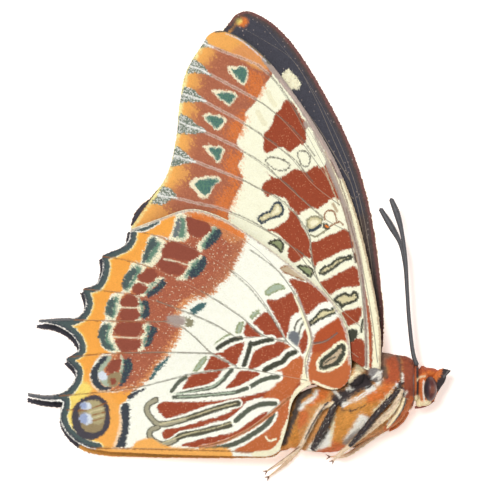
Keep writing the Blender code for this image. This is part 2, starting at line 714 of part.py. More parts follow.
def main() -> None:
    clear_scene()
    build_thorax()
    build_abdomen()
    build_head()
    build_mouthparts()
    build_antennae()
    build_one_piece_legs()
    build_two_part_legs()
    build_wings()


if __name__ == "__main__":
    main()
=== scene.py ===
"""Looks of a large tailed brush-footed butterfly that lies on its left side with closed wings.

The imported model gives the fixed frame: +X towards the head, +Y from the body towards the wing tips
and +Z up, out of the insect's right side. Lengths are in millimetres until a mesh is written, in
metres. Marks are drawn by outlines in pixels of the reference picture, whose pixels have one real
size, and every skin and scale asks the same marks for its colour.
"""

from __future__ import annotations

import logging
import math
from collections.abc import Callable
from dataclasses import dataclass, field
from enum import Enum

import bpy
import numpy as np
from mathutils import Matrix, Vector
from mathutils.geometry import delaunay_2d_cdt

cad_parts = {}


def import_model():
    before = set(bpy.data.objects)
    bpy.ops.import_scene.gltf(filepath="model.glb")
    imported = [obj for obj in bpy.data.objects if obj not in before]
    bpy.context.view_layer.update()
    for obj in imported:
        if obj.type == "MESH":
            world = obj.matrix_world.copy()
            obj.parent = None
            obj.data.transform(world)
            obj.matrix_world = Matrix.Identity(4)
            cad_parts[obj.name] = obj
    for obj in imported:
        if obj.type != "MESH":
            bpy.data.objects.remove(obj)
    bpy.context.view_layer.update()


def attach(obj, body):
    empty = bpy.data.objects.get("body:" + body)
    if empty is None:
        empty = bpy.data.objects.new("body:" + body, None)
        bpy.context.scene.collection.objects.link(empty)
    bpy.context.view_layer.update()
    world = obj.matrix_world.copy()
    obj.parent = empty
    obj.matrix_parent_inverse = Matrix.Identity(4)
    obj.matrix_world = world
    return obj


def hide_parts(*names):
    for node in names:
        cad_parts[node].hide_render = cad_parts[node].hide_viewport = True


LOG = logging.getLogger("butterfly")

Array = np.ndarray
Points = tuple[tuple[float, ...], ...]

MILLIMETRE = 0.001

# The picture's scale: the forewing is taken to be 46 mm long, and is 380 pixels long there.
PIXEL = 46.0 / 380.0
ORIGIN_PIXEL = (238.3, 244.6)
PICTURE_SIZE = (490, 500)

# How the four closed wings lie on one another: sheets a membrane and two veins thick, with a gap.
MEMBRANE = 0.5
RIDGE = 0.12
GAP = 0.3
PITCH = MEMBRANE + 2.0 * RIDGE + GAP
FLOOR_SHEET = MEMBRANE / 2.0 + RIDGE
BODY_LEVEL = 4.1
MIDDLE_RADIUS = 220.0

# Where the upper wings rise over the thorax and the abdomen, and where the forewings sink.
HINGE_PIXEL = (379.0, 370.0)
HINGE_LIFT = 6.7
HINGE_REACH = 24.0
ABDOMEN_REACH = 9.0
LIFT_BLEND = 0.2
ABDOMEN_LIFTS = (
    (300.0, 426.0, 3.9), (272.0, 429.0, 3.4), (240.0, 432.0, 2.7),
    (210.0, 434.0, 1.7), (185.0, 437.0, 0.9), (165.0, 439.0, 0.3),
)
SINK_NEAR = 3.0
SINK_FAR = 14.0
SINK_GROWTH = 0.45


class Tint(Enum):
    """The insect's colours, on the usual scale of 0 to 255."""

    CREAM = (253, 254, 239)
    LEMON_CREAM = (253, 252, 226)
    WARM_CREAM = (252, 246, 214)
    WHITE = (255, 255, 250)
    PALE_YELLOW = (250, 240, 170)
    YELLOW = (250, 232, 125)
    APRICOT = (247, 182, 96)
    PEACH = (222, 150, 96)
    ORANGE = (249, 174, 78)
    DEEP_ORANGE = (232, 130, 58)
    RUST = (180, 110, 82)
    WARM_RUST = (196, 108, 62)
    RED = (160, 74, 48)
    BRIGHT_RED = (174, 76, 42)
    MAROON = (150, 80, 63)
    HIND_RUST = (178, 102, 76)
    BASE_ORANGE = (200, 98, 50)
    SPECK = (212, 140, 102)
    GREEN = (94, 136, 116)
    TEAL = (72, 108, 110)
    PALE_GREEN = (176, 190, 168)
    GREY_GREEN = (132, 140, 124)
    MOSS = (150, 160, 118)
    OLIVE = (148, 144, 116)
    STONE = (170, 165, 140)
    PALE_OLIVE = (222, 212, 168)
    DARK_OLIVE = (88, 86, 70)
    BLACK_GREEN = (70, 72, 60)
    OLIVE_BLACK = (92, 98, 84)
    SLATE = (82, 97, 97)
    DARK_SLATE = (66, 72, 80)
    BLUE_BLACK = (62, 74, 84)
    MIST = (164, 178, 212)
    PALE_MIST = (222, 230, 240)
    BUFF = (186, 174, 132)
    BROWN_BUFF = (158, 140, 104)
    PALE_MAUVE = (226, 200, 188)
    MAUVE = (176, 160, 152)
    DARK_MAUVE = (120, 92, 84)
    TAN = (200, 180, 150)
    LINE_GREY = (112, 108, 96)
    LINE_BROWN = (150, 96, 56)
    WORN_GREY = (116, 121, 126)
    UPPER_BLACK = (74, 74, 84)
    UPPER_BROWN = (88, 76, 72)
    UPPER_RIM = (124, 84, 80)
    TAIL_GREY = (104, 104, 108)
    EDGE_DARK = (78, 74, 82)
    HAIR_ORANGE = (212, 150, 86)
    HAIR_GOLD = (218, 150, 70)
    HAIR_BRIGHT = (222, 122, 56)
    HAIR_RUST = (214, 118, 62)
    HAIR_BROWN = (150, 112, 90)
    HAIR_RED = (188, 92, 54)
    HAIR_COLLAR = (168, 84, 54)
    HAIR_DARK = (92, 80, 72)
    HAIR_BLACK = (60, 52, 54)
    HAIR_GREY = (150, 146, 144)
    HAIR_WHITE = (255, 252, 240)
    HAIR_CREAM = (255, 236, 196)
    LEG_TAN = (238, 212, 180)
    LEG_BROWN = (122, 92, 64)
    CLAW_BROWN = (116, 76, 56)
    EYE_MAROON = (92, 48, 46)
    EYE_DARK = (54, 48, 56)
    ANTENNA_GREY = (88, 88, 92)
    TONGUE_RED = (128, 52, 40)

    @property
    def linear(self) -> Array:
        """The colour as linear red, green and blue."""
        share = np.array(self.value) / 255.0
        return np.where(share <= 0.04045, share / 12.92, ((share + 0.055) / 1.055) ** 2.4)


def plan(pixels: Array | Points) -> Array:
    """Turns picture pixels into x and y in millimetres.

    Args:
        pixels: Points whose first two columns are pixels across and down.

    Returns:
        One row of x and y for each point.
    """
    flat = np.asarray(pixels, dtype=float)[:, :2]
    return (flat - ORIGIN_PIXEL) * (PIXEL, -PIXEL)


def pixels_of(flat: Array) -> Array:
    """Turns x and y in millimetres into picture pixels."""
    return flat[:, :2] / (PIXEL, -PIXEL) + ORIGIN_PIXEL


def smooth_run(points: Array | Points, step: float) -> Array:
    """Samples a smooth curve through points, as a centripetal Catmull-Rom spline.

    Between two points the curve is a cubic whose slopes weigh the neighbours by the square roots
    of their distances.

    Args:
        points: The points in order, two or more, of any number of columns.
        step: The wanted distance between samples.

    Returns:
        The samples, from the first point to the last.
    """
    rows = np.asarray(points, dtype=float)
    padded = np.vstack((2 * rows[0] - rows[1], rows, 2 * rows[-1] - rows[-2]))
    return spline_through(padded, step)


def spline_through(padded: Array, step: float) -> Array:
    """Samples a centripetal Catmull-Rom spline between the second row and the last but one.

    Args:
        padded: The points, with one more before the first and after the last.
        step: The wanted distance between samples.

    Returns:
        The samples, without the two added points.
    """
    samples = []
    for before, start, end, after in zip(padded, padded[1:], padded[2:], padded[3:]):
        lengths = [max(math.dist(a, b), 1e-6) ** 0.5
                   for a, b in ((before, start), (start, end), (end, after))]
        enter = (start - before) / lengths[0] - (end - before) / (lengths[0] + lengths[1])
        enter = enter + (end - start) / lengths[1]
        leave = (end - start) / lengths[1] - (after - start) / (lengths[1] + lengths[2])
        leave = leave + (after - end) / lengths[2]
        count = max(1, round(math.dist(start, end) / step))
        t = (np.arange(count) / count)[:, None]
        samples.append(
            (2 * t**3 - 3 * t**2 + 1) * start + (t**3 - 2 * t**2 + t) * lengths[1] * enter
            + (3 * t**2 - 2 * t**3) * end + (t**3 - t**2) * lengths[1] * leave
        )
    samples.append(padded[-2][None])
    return np.vstack(samples)


def smooth_loop(points: Array | Points, step: float) -> Array:
    """Samples a smooth closed curve through points, without repeating the first.

    Args:
        points: The loop's points in order, each once.
        step: The wanted distance between samples.

    Returns:
        The samples in order.
    """
    rows = np.asarray(points, dtype=float)
    padded = np.vstack((rows[-1], rows, rows[0], rows[1]))
    return spline_through(padded, step)[:-1]


def even_run(points: Array | Points, count: int) -> Array:
    """Reads a smooth curve through the points at a number of even steps of its length.

    Args:
        points: The points in order, of any number of columns.
        count: The number of rows wanted.

    Returns:
        The rows, from the first point to the last.
    """
    fine = smooth_run(points, 0.05)
    gaps = np.linalg.norm(np.diff(fine, axis=0), axis=1)
    length = np.concatenate(([0.0], np.cumsum(gaps)))
    wanted = np.linspace(0.0, length[-1], count)
    return np.column_stack([np.interp(wanted, length, column) for column in fine.T])


def line_distance(points: Array, line: Array) -> Array:
    """Gives each point's distance to a line of straight pieces: the least over the pieces.

    Args:
        points: Points of x and y.
        line: The line's corners in order.

    Returns:
        One distance for each point.
    """
    starts = line[:-1][None]
    spans = line[1:][None] - starts
    offsets = points[:, None] - starts
    along = (offsets * spans).sum(axis=2) / np.maximum((spans**2).sum(axis=2), 1e-12)
    along = np.clip(along, 0.0, 1.0)
    return np.linalg.norm(offsets - along[..., None] * spans, axis=2).min(axis=1)


def is_inside(points: Array, loop: Array) -> Array:
    """Tells which points lie inside a loop, by counting the edges crossed on the way out.

    Args:
        points: Points of x and y.
        loop: The loop's corners, each once.

    Returns:
        True for each point inside.
    """
    x, y = points[:, 0][:, None], points[:, 1][:, None]
    end = np.roll(loop, -1, axis=0)
    spans = (loop[:, 1] > y) != (end[:, 1] > y)
    rise = end[:, 1] - loop[:, 1]
    rise = np.where(np.abs(rise) < 1e-12, 1e-12, rise)
    crossing = loop[:, 0] + (y - loop[:, 1]) * (end[:, 0] - loop[:, 0]) / rise
    return ((spans & (x < crossing)).sum(axis=1) % 2).astype(bool)


def loop_depth(points: Array, loop: Array) -> Array:
    """Gives each point's depth inside a loop, negative outside it.

    Args:
        points: Points of x and y.
        loop: The loop's corners, each once.

    Returns:
        One depth for each point.
    """
    distance = np.empty(len(points))
    for part in np.array_split(np.arange(len(points)), max(1, len(points) // 20000)):
        distance[part] = line_distance(points[part], np.vstack((loop, loop[:1])))
        distance[part] *= np.where(is_inside(points[part], loop), 1.0, -1.0)
    return distance


def smoothstep(values: Array) -> Array:
    """Eases 0 to 1: three times the square less twice the cube."""
    clipped = np.clip(values, 0.0, 1.0)
    return clipped * clipped * (3.0 - 2.0 * clipped)


def waves(points: Array, size: float, seed: int) -> Array:
    """A smooth random field from -1 to 1: the mean of sines in random directions.

    Args:
        points: Points of two or three columns.
        size: The rough distance between neighbouring highs.
        seed: Chooses the field.

    Returns:
        One value for each point.
    """
    rng = np.random.default_rng(seed)
    total = np.zeros(len(points))
    for _ in range(7):
        direction = rng.normal(size=points.shape[1])
        direction *= rng.uniform(0.6, 1.5) * math.tau / size / np.linalg.norm(direction)
        total += np.sin(points @ direction + rng.uniform(0.0, math.tau))
    return np.clip(total / 4.0, -1.0, 1.0)


def teeth(pixels: Array, lane: float, length: float, seed: int) -> Array:
    """A random value from -1 to 1 for each point, the same along short lanes out from the hinge.

    A point's lane is its angle about the hinge over the lane's angle, and its place in the lane is
    its distance over the length. The fraction of a large sine of both is the value.

    Args:
        pixels: Points in picture pixels.
        lane: The width of a lane, in pixels, in the middle of a wing.
        length: The length of a value's stretch along its lane, in pixels.
        seed: Chooses the values.

    Returns:
        One value for each point.
    """
    offset = np.array(HINGE_PIXEL) - pixels
    number = np.floor(np.arctan2(offset[:, 1], offset[:, 0]) * MIDDLE_RADIUS / lane)
    place = np.floor(np.hypot(*offset.T) / length + 0.618 * number)
    value = np.sin(number * 127.1 + place * 311.7 + seed * 74.7) * 43758.5
    return 2.0 * (value - np.floor(value)) - 1.0


@dataclass(frozen=True)
class Mark:
    """A mark with nested layers, from its rim inwards.

    Attributes:
        outline: Its closed outline, in pixels.
        layers: Pairs of a depth inside the outline, in pixels, and the tint from there inwards.
        soft: Half the width of the blend at its edges, in pixels.
        ragged: How far its edge strays, as a multiple of the canvas's raggedness.
    """

    outline: Points
    layers: tuple[tuple[float, Tint], ...]
    soft: float = 0.6
    ragged: float = 1.0


@dataclass(frozen=True)
class Stroke:
    """A line of paint.

    Attributes:
        path: The points that it runs through, in pixels.
        width: Its width in pixels, or its widths at the two ends.
        tint: Its colour.
        soft: Half the width of the blend at its edges, in pixels.
        strength: How much of the ground it covers, from 0 to 1.
    """

    path: Points
    width: float | tuple[float, float]
    tint: Tint
    soft: float = 0.6
    strength: float = 1.0


class Canvas:
    """Points of one wing face, or of the body, and the colour that each has been given so far."""

    def __init__(self, pixels: Array, ground: Tint, seed: int) -> None:
        """Starts with one ground colour.

        Args:
            pixels: The points, in picture pixels.
            ground: The first colour everywhere.
            seed: Chooses the ragged edges.
        """
        self.pixels = pixels
        self.ground = ground
        self.colours = np.tile(ground.linear, (len(pixels), 1))
        self.rng = np.random.default_rng(seed)
        self.rough = self.rng.uniform(-1.0, 1.0, len(pixels)) * 0.3
        self.rough += waves(pixels, 4.0, seed) * 0.35 + teeth(pixels, 1.1, 5.0, seed) * 0.55

    def near(self, shape: Array, margin: float) -> Array:
        """Gives the indices of the points within a margin of a shape's box."""
        low, high = shape.min(axis=0) - margin, shape.max(axis=0) + margin
        return np.flatnonzero(((self.pixels > low) & (self.pixels < high)).all(axis=1))

    def tone(self, where: Array, alpha: Array, tint: Tint) -> None:
        """Blends a tint over some points by a share for each."""
        share = np.clip(alpha, 0.0, 1.0)[:, None]
        self.colours[where] = self.colours[where] * (1.0 - share) + tint.linear * share

    def fill(self, outline: Points, tint: Tint, soft: float = 0.6, strength: float = 1.0,
             ragged: float = 1.0) -> None:
        """Paints inside a smooth closed outline, blending across its edge.

        Args:
            outline: The outline's points, in pixels.
            tint: The colour.
            soft: Half the width of the blend, in pixels.
            strength: How much of the ground it covers.
            ragged: How far its edge strays.
        """
        self.lay(Mark(outline, ((0.0, tint),), soft, ragged), strength)

    def lay(self, mark: Mark, strength: float = 1.0) -> None:
        """Paints a mark's layers in turn, each inside its own depth.

        Args:
            mark: The mark.
            strength: How much of the ground it covers.
        """
        loop = smooth_loop(mark.outline, 1.5)
        where = self.near(loop, 2.0 + 2.0 * mark.ragged)
        if len(where) == 0:
            return
        depth = loop_depth(self.pixels[where], loop) + mark.ragged * self.rough[where]
        for start, tint in mark.layers:
            alpha = smoothstep((depth - start) / (2.0 * mark.soft) + 0.5)
            self.tone(where, alpha * strength, tint)

    def draw(self, stroke: Stroke) -> None:
        """Paints a line of even or tapering width.

        A point is covered where its distance to the line is under half the width there.

        Args:
            stroke: The line of paint.
        """
        line = smooth_run(stroke.path, 1.5)
        widths = stroke.width if isinstance(stroke.width, tuple) else (stroke.width,) * 2
        where = self.near(line, max(widths) + 2.0)
        if len(where) == 0:
            return
        points = self.pixels[where]
        nearest = np.linalg.norm(points[:, None] - line[None], axis=2).argmin(axis=1)
        half = np.linspace(widths[0], widths[1], len(line))[nearest] / 2.0
        depth = half - line_distance(points, line) + 0.5 * self.rough[where]
        alpha = smoothstep(depth / (2.0 * stroke.soft) + 0.5)
        self.tone(where, alpha * stroke.strength, stroke.tint)

    def flecks(self, outline: Points, share: float, tint: Tint, strength: float = 0.7) -> None:
        """Tints a random share of the points inside an outline, as worn or odd scales are.

        Args:
            outline: The outline's points, in pixels.
            share: The share of the points, from 0 to 1.
            tint: Their colour.
            strength: How much of the ground it covers.
        """
        loop = smooth_loop(outline, 2.0)
        where = self.near(loop, 0.0)
        where = where[is_inside(self.pixels[where], loop)]
        chosen = where[self.rng.random(len(where)) < share]
        self.tone(chosen, np.full(len(chosen), strength), tint)

    def shade(self, amount: float, size: float, seed: int) -> None:
        """Varies the brightness by a smooth field and a little from point to point.

        Args:
            amount: How far the brightness strays, as a share.
            size: The field's rough distance between highs, in pixels.
            seed: Chooses the field.
        """
        field_values = 1.0 + amount * waves(self.pixels, size, seed)
        field_values += self.rng.normal(0.0, amount * 0.8, len(self.pixels))
        self.colours *= np.clip(field_values, 0.7, 1.3)[:, None]

    def grade(self, path: Points, stops: tuple[tuple[float, Tint, float], ...]) -> None:
        """Paints bands by distance from a line, blending from each stop to the next.

        Args:
            path: The line's points, in pixels.
            stops: A distance in pixels, the tint and how much it covers there, in order.
        """
        line = smooth_run(path, 2.0)
        reach = stops[-1][0]
        where = self.near(line, reach)
        distance = line_distance(self.pixels[where], line) + 0.8 * self.rough[where]
        inside = distance < reach
        where, distance = where[inside], distance[inside]
        marks = [stop[0] for stop in stops]
        colours = np.array([stop[1].linear for stop in stops])
        mixed = np.column_stack([np.interp(distance, marks, channel) for channel in colours.T])
        share = np.interp(distance, marks, [stop[2] for stop in stops])[:, None]
        self.colours[where] = self.colours[where] * (1.0 - share) + mixed * share

    def paint(self, marks: tuple[Mark | Stroke, ...]) -> None:
        """Paints marks and lines in order.

        Args:
            marks: The marks and lines.
        """
        for mark in marks:
            if isinstance(mark, Stroke):
                self.draw(mark)
            else:
                self.lay(mark)


def plain(tint: Tint, soft: float, *outlines: Points, ragged: float = 1.0) -> tuple[Mark, ...]:
    """Marks of one tint, one for each outline."""
    return tuple(Mark(outline, ((0.0, tint),), soft, ragged) for outline in outlines)


def rimmed(rim: Tint, width: float, core: Tint, *outlines: Points) -> tuple[Mark, ...]:
    """Marks with a rim of one tint round a core of another."""
    return tuple(Mark(outline, ((0.0, rim), (width, core))) for outline in outlines)


def lines(tint: Tint, width: float, *paths: Points, strength: float = 1.0) -> tuple[Stroke, ...]:
    """Strokes of one tint and width, one for each path."""
    return tuple(Stroke(path, width, tint, strength=strength) for path in paths)


def edged(tint: Tint, width: float, *paths: Points, edge: float = 3.0,
          rim: Tint = Tint.CREAM) -> tuple[Stroke, ...]:
    """Strokes of one tint with a pale edge on both sides, all edges first."""
    return (*lines(rim, width + 2.0 * edge, *paths), *lines(tint, width, *paths))


# Outline of the right forewing, as smooth runs that meet at its corners, in pixels.
FOREWING_RUNS = (
    ((380, 371), (380, 330), (371, 275), (356, 213), (334, 158), (300, 102), (263, 55), (238, 36),
     (219, 30), (208, 35), (203, 43)),
    ((203, 43), (187, 70), (180, 102), (176, 140), (167, 175), (150, 201), (131, 228)),
    ((131, 228), (175, 258), (240, 295), (300, 329), (356, 362)),
    ((356, 362), (366, 369), (380, 371)),
)
# The left forewing's hind corner hangs lower and shows past the right one as a thin dark strip.
LEFT_FOREWING_RUNS = (
    FOREWING_RUNS[0],
    ((203, 43), (187, 70), (180, 102), (176, 140), (168, 178), (160, 200), (147, 213), (140.5, 222),
     (133, 229), (127, 238), (124, 249)),
    ((124, 249), (175, 262), (240, 295), (300, 329), (356, 362)),
    FOREWING_RUNS[3],
)
FOREWING_VEINS = {
    "subcosta": ((377, 362), (372, 320), (361, 260), (342, 195), (312, 135), (275, 82), (236, 42)),
    "radius": ((365, 362), (364, 320), (356, 255), (338, 195), (314, 147), (290, 104), (268, 74),
               (240, 58), (207, 43)),
    "media_1": ((335, 188), (317, 163), (297, 136), (272, 110), (235, 87), (191, 67)),
    "media_2": ((340, 205), (313, 184), (290, 157), (258, 133), (220, 109), (185, 94)),
    "media_3": ((349, 232), (325, 219), (295, 193), (260, 163), (220, 139), (180, 122)),
    "cubitus_1": ((364, 330), (340, 308), (318, 280), (309, 240), (295, 214), (262, 190), (220, 172),
                  (175, 156)),
    "cubitus_2": ((318, 280), (290, 245), (265, 230), (215, 208), (156, 195)),
    "anal": ((358, 357), (320, 330), (260, 293), (200, 257), (141, 221)),
}

# Outline of the right hindwing: costa, scalloped margin with teeth and two tails, lobe, inner edge.
HINDWING_RUNS = (
    ((351, 362), (347, 330), (329, 297), (296, 269), (255, 238), (225, 219), (192, 209), (158, 219),
     (131, 229)),
    ((131, 229), (127, 243), (102, 256)),
    ((102, 256), (103, 268), (97, 283), (83, 289)),
    ((83, 289), (86, 304), (79, 316), (58, 318.5), (39, 320)),
    ((39, 322), (58, 326), (74, 337), (79, 349), (66, 359)),
    ((66, 359), (76, 372), (69, 388), (50, 395.5), (28, 393.5)),
    ((28, 396), (45, 400.5), (63, 402)),
    ((63, 402), (60, 417), (67, 433), (84, 446), (110, 451.5)),
    ((110, 451.5), (170, 454), (240, 455.5), (272, 454.5), (280, 449)),
    ((280, 449), (287, 425), (293, 400), (304, 388), (313, 383)),
    ((313, 383), (325, 388), (337, 388.5), (345, 384), (350, 374), (351, 362)),
)
HINDWING_VEINS = {
    "subcosta": ((307, 378), (305, 362), (311, 340), (303, 313), (290, 287), (255, 248), (210, 223),
                 (172, 214)),
    "humeral": ((311, 345), (325, 341), (337, 333)),
    "radius": ((299, 352), (287, 341), (275, 320), (250, 285), (212, 258), (178, 243), (143, 232)),
    "media_1": ((287, 341), (265, 336), (245, 320), (200, 291), (150, 267), (106, 256)),
    "media_2": ((265, 336), (237, 337), (215, 324), (165, 304), (112, 291), (88, 289)),
    "media_3": ((237, 366), (212, 353), (183, 328), (165, 322), (130, 321), (90, 320), (50, 320.5)),
    "cubitus_1": ((212, 353), (160, 352), (120, 353), (71, 358)),
    "cubitus_2": ((307, 380), (280, 375), (238, 368), (200, 373), (140, 387), (80, 395), (40, 396.5)),
    "anal": ((285, 398), (268, 413), (235, 437), (200, 447), (140, 448), (98, 446)),
}


@dataclass(frozen=True)
class ForewingUnderside:
    """The forewing's underside: a cream band, rust beyond it and red patches towards the base."""

    ground: Tint = Tint.LEMON_CREAM
    margin: Points = ((206, 38), (203, 43), (187, 70), (180, 102), (176, 140), (167, 175),
                      (150, 201), (131, 228))
    outer_zone: Points = (
        (272, 74), (262, 88), (258, 97), (255, 103), (250, 108), (245, 115), (245, 122), (243, 128),
        (239, 135), (237, 143), (240, 150), (244, 153), (241, 160), (238, 167), (240, 172),
        (243, 180), (240, 188), (236, 195), (232, 203), (229, 212), (227, 224), (170, 262),
        (110, 240), (130, 170), (150, 90), (180, 30), (215, 15), (250, 32), (270, 60),
    )
    bands: tuple[tuple[float, Tint, float], ...] = (
        (0.0, Tint.PALE_YELLOW, 1.0), (1.6, Tint.PALE_YELLOW, 1.0), (4.5, Tint.APRICOT, 0.95),
        (9.0, Tint.APRICOT, 0.7), (16.0, Tint.PEACH, 0.35), (26.0, Tint.RUST, 0.0),
    )
    glows: tuple[Points, ...] = (
        ((250, 70), (262, 76), (262, 90), (256, 98), (248, 98), (246, 84)),
        ((232, 122), (244, 112), (246, 122), (240, 138), (232, 140), (226, 132)),
        ((226, 158), (240, 152), (240, 168), (238, 184), (228, 176)),
        ((224, 190), (238, 186), (232, 208), (226, 224), (216, 220), (214, 206)),
    )
    spots: tuple[Points, ...] = (
        ((200, 52), (210, 50), (214, 56), (206, 64), (199, 60)),
        ((190, 76), (198, 76), (202, 84), (194, 88), (188, 84)),
        ((186, 104), (196, 106), (198, 112), (190, 114), (184, 110)),
        ((180, 136), (190, 138), (192, 144), (184, 148), (178, 144)),
        ((172, 168), (186, 168), (190, 176), (176, 184), (166, 180)),
        ((148, 206), (166, 207), (172, 216), (150, 224), (138, 222)),
    )
    teardrops: tuple[tuple[Points, Points], ...] = (
        (((227, 67), (231, 65), (236, 66), (240, 65), (245, 66), (248, 70), (249, 76), (247, 82),
          (243, 86), (238, 83), (233, 77), (229, 72)),
         ((232, 69), (236, 69), (240, 67), (245, 68), (247, 72), (246, 79), (243, 83), (239, 80),
          (235, 75))),
        (((211, 91), (217, 89), (224, 90), (232, 91), (238, 95), (235, 100), (232, 104), (229, 107),
          (224, 103), (218, 98), (214, 94)),
         ((217, 94), (222, 92.5), (230, 93), (235.5, 96), (233, 100), (229.5, 104), (225, 101),
          (220, 97.5))),
        (((202, 115), (208, 113), (214, 114), (221, 115), (227, 120), (224, 125), (220, 129),
          (217, 131), (212, 127), (206, 121)),
         ((206, 117), (210, 115.5), (218, 117), (224, 120.5), (220, 125.5), (217, 128.5), (212, 125),
          (208, 120))),
        (((202, 146), (209, 144), (214, 146), (221, 146), (225, 150), (223, 155), (219, 164),
          (214, 159), (208, 153), (205, 149)),
         ((209, 148), (213, 148), (222, 149), (221, 154), (218, 161), (213.5, 156), (210, 151))),
        (((189, 184), (194, 178), (203, 176.5), (212, 175.5), (219, 177), (221, 181), (214, 187),
          (211, 194), (206, 199), (200, 198), (195, 192), (191, 188)),
         ((195, 185), (199, 180.5), (207, 179), (217, 179), (219, 181), (213, 186), (210, 192),
          (206, 195.5), (201, 193), (197, 188))),
    )
    vein_ends: tuple[Points, ...] = (
        ((200, 47), (203, 42), (206, 38), (208, 43), (212, 46.5), (206, 47)),
        ((188, 73), (190, 66), (193, 59), (199, 62), (206, 69), (211, 75), (200, 73), (194, 73)),
        ((180, 102), (182, 94), (184, 87), (191, 88), (199, 95), (207, 101), (196, 102), (188, 102)),
        ((177, 133), (178, 123), (180, 114), (187, 116), (195, 123), (206, 131), (192, 134),
         (183, 133.5)),
        ((171, 166), (173, 157), (176, 147), (184, 151), (190, 157), (196, 162), (188, 163),
         (180, 165)),
        ((152, 203), (157, 196), (163, 187), (170, 189), (177, 197), (170, 200), (165, 204),
         (157, 204.5)),
    )
    streaks: tuple[Points, ...] = (
        ((190, 66), (200, 69), (209, 74)), ((184, 94), (196, 98), (206, 101)),
        ((180, 122), (192, 127), (205, 131)), ((175, 156), (185, 159), (195, 162)),
        ((158, 195), (167, 197), (177, 198)), ((203, 43), (208, 45), (213, 47)),
    )
    outer_veins: tuple[Points, ...] = (
        ((206, 44), (228, 53), (245, 59), (258, 65), (268, 73)),
        ((205, 71), (215, 77), (230, 85), (245, 93), (256, 99)),
        ((204, 101), (215, 107), (230, 115), (244, 123)),
        ((203, 131), (220, 139), (235, 146), (243, 151)),
        ((194, 161), (215, 169), (230, 175), (242, 180)),
        ((176, 198), (200, 204), (215, 207), (231, 212)),
    )
    inner_veins: tuple[Points, ...] = (
        ((268, 73), (275, 80), (285, 93), (290, 101), (298, 115), (304, 128), (309, 136)),
        ((255, 99), (265, 105), (275, 113), (285, 121), (295, 131), (303, 140), (315, 156)),
        ((243, 123), (255, 130), (265, 137), (273, 142), (285, 152), (295, 160), (313, 182)),
        ((245, 152), (258, 160), (270, 169), (278, 177), (290, 187), (300, 197), (325, 219)),
        ((243, 180), (262, 190), (273, 195), (285, 203), (295, 213), (300, 220), (305, 227),
         (310, 238), (311, 250), (313, 265), (318, 280)),
        ((230, 212), (245, 218), (260, 226), (275, 236), (290, 246), (300, 252), (315, 268)),
    )
    reds: tuple[Points, ...] = (
        ((286, 100), (292, 102), (298, 110), (303, 119), (308, 126), (306, 132), (306, 143),
         (300, 145), (294, 149), (290, 152), (284, 148), (278, 148), (272, 151), (267, 153),
         (264, 150), (264, 143), (264, 134), (270, 128), (273, 121), (275, 114), (281, 108)),
        ((266, 172), (271, 176), (278, 178), (284, 176), (290, 172), (296, 169), (301, 170),
         (306, 172), (312, 168), (317, 166), (321, 168), (325, 164), (328, 170), (333, 182),
         (338, 193), (341, 200), (335, 198), (329, 201), (324, 205), (318, 209), (313, 208),
         (309, 209), (302, 212), (299, 215), (294, 210), (290, 207), (288, 202), (284, 198),
         (278, 196), (272, 195), (268, 197), (264, 192), (262, 188), (264, 183), (269, 180),
         (271, 178)),
        ((289, 209), (293, 212), (297, 215), (300, 222), (304, 229), (308, 236), (310, 242),
         (310, 250), (311, 258), (305, 256.5), (301, 259), (298, 261), (294, 263), (290, 260),
         (288, 257), (288, 250), (289, 246), (285, 241), (280, 236), (275, 233), (268, 230),
         (275, 228), (282, 224), (287, 220), (289, 214)),
        ((311, 243), (318, 241), (327, 236), (336, 233), (345, 229), (349, 232), (352, 240),
         (354, 247), (346, 250), (338, 253), (331, 257), (324, 260), (318, 263), (315, 267),
         (312, 260), (311, 252)),
        ((320, 283), (328, 279), (337, 274), (346, 270), (354, 266), (358, 270), (359, 279),
         (360, 286), (352, 287), (343, 288), (336, 291), (330, 295), (325, 290)),
        ((341, 313), (348, 310), (354, 309), (361, 307), (362, 312), (360, 318), (358, 323),
         (353, 324), (348, 326), (345, 320)),
        ((347, 343), (352, 340), (358, 338), (364, 341), (366, 352), (365, 366), (352, 366)),
    )
    cell_edge: Points = ((373, 366), (372, 340), (369, 310), (365, 285), (360, 262))
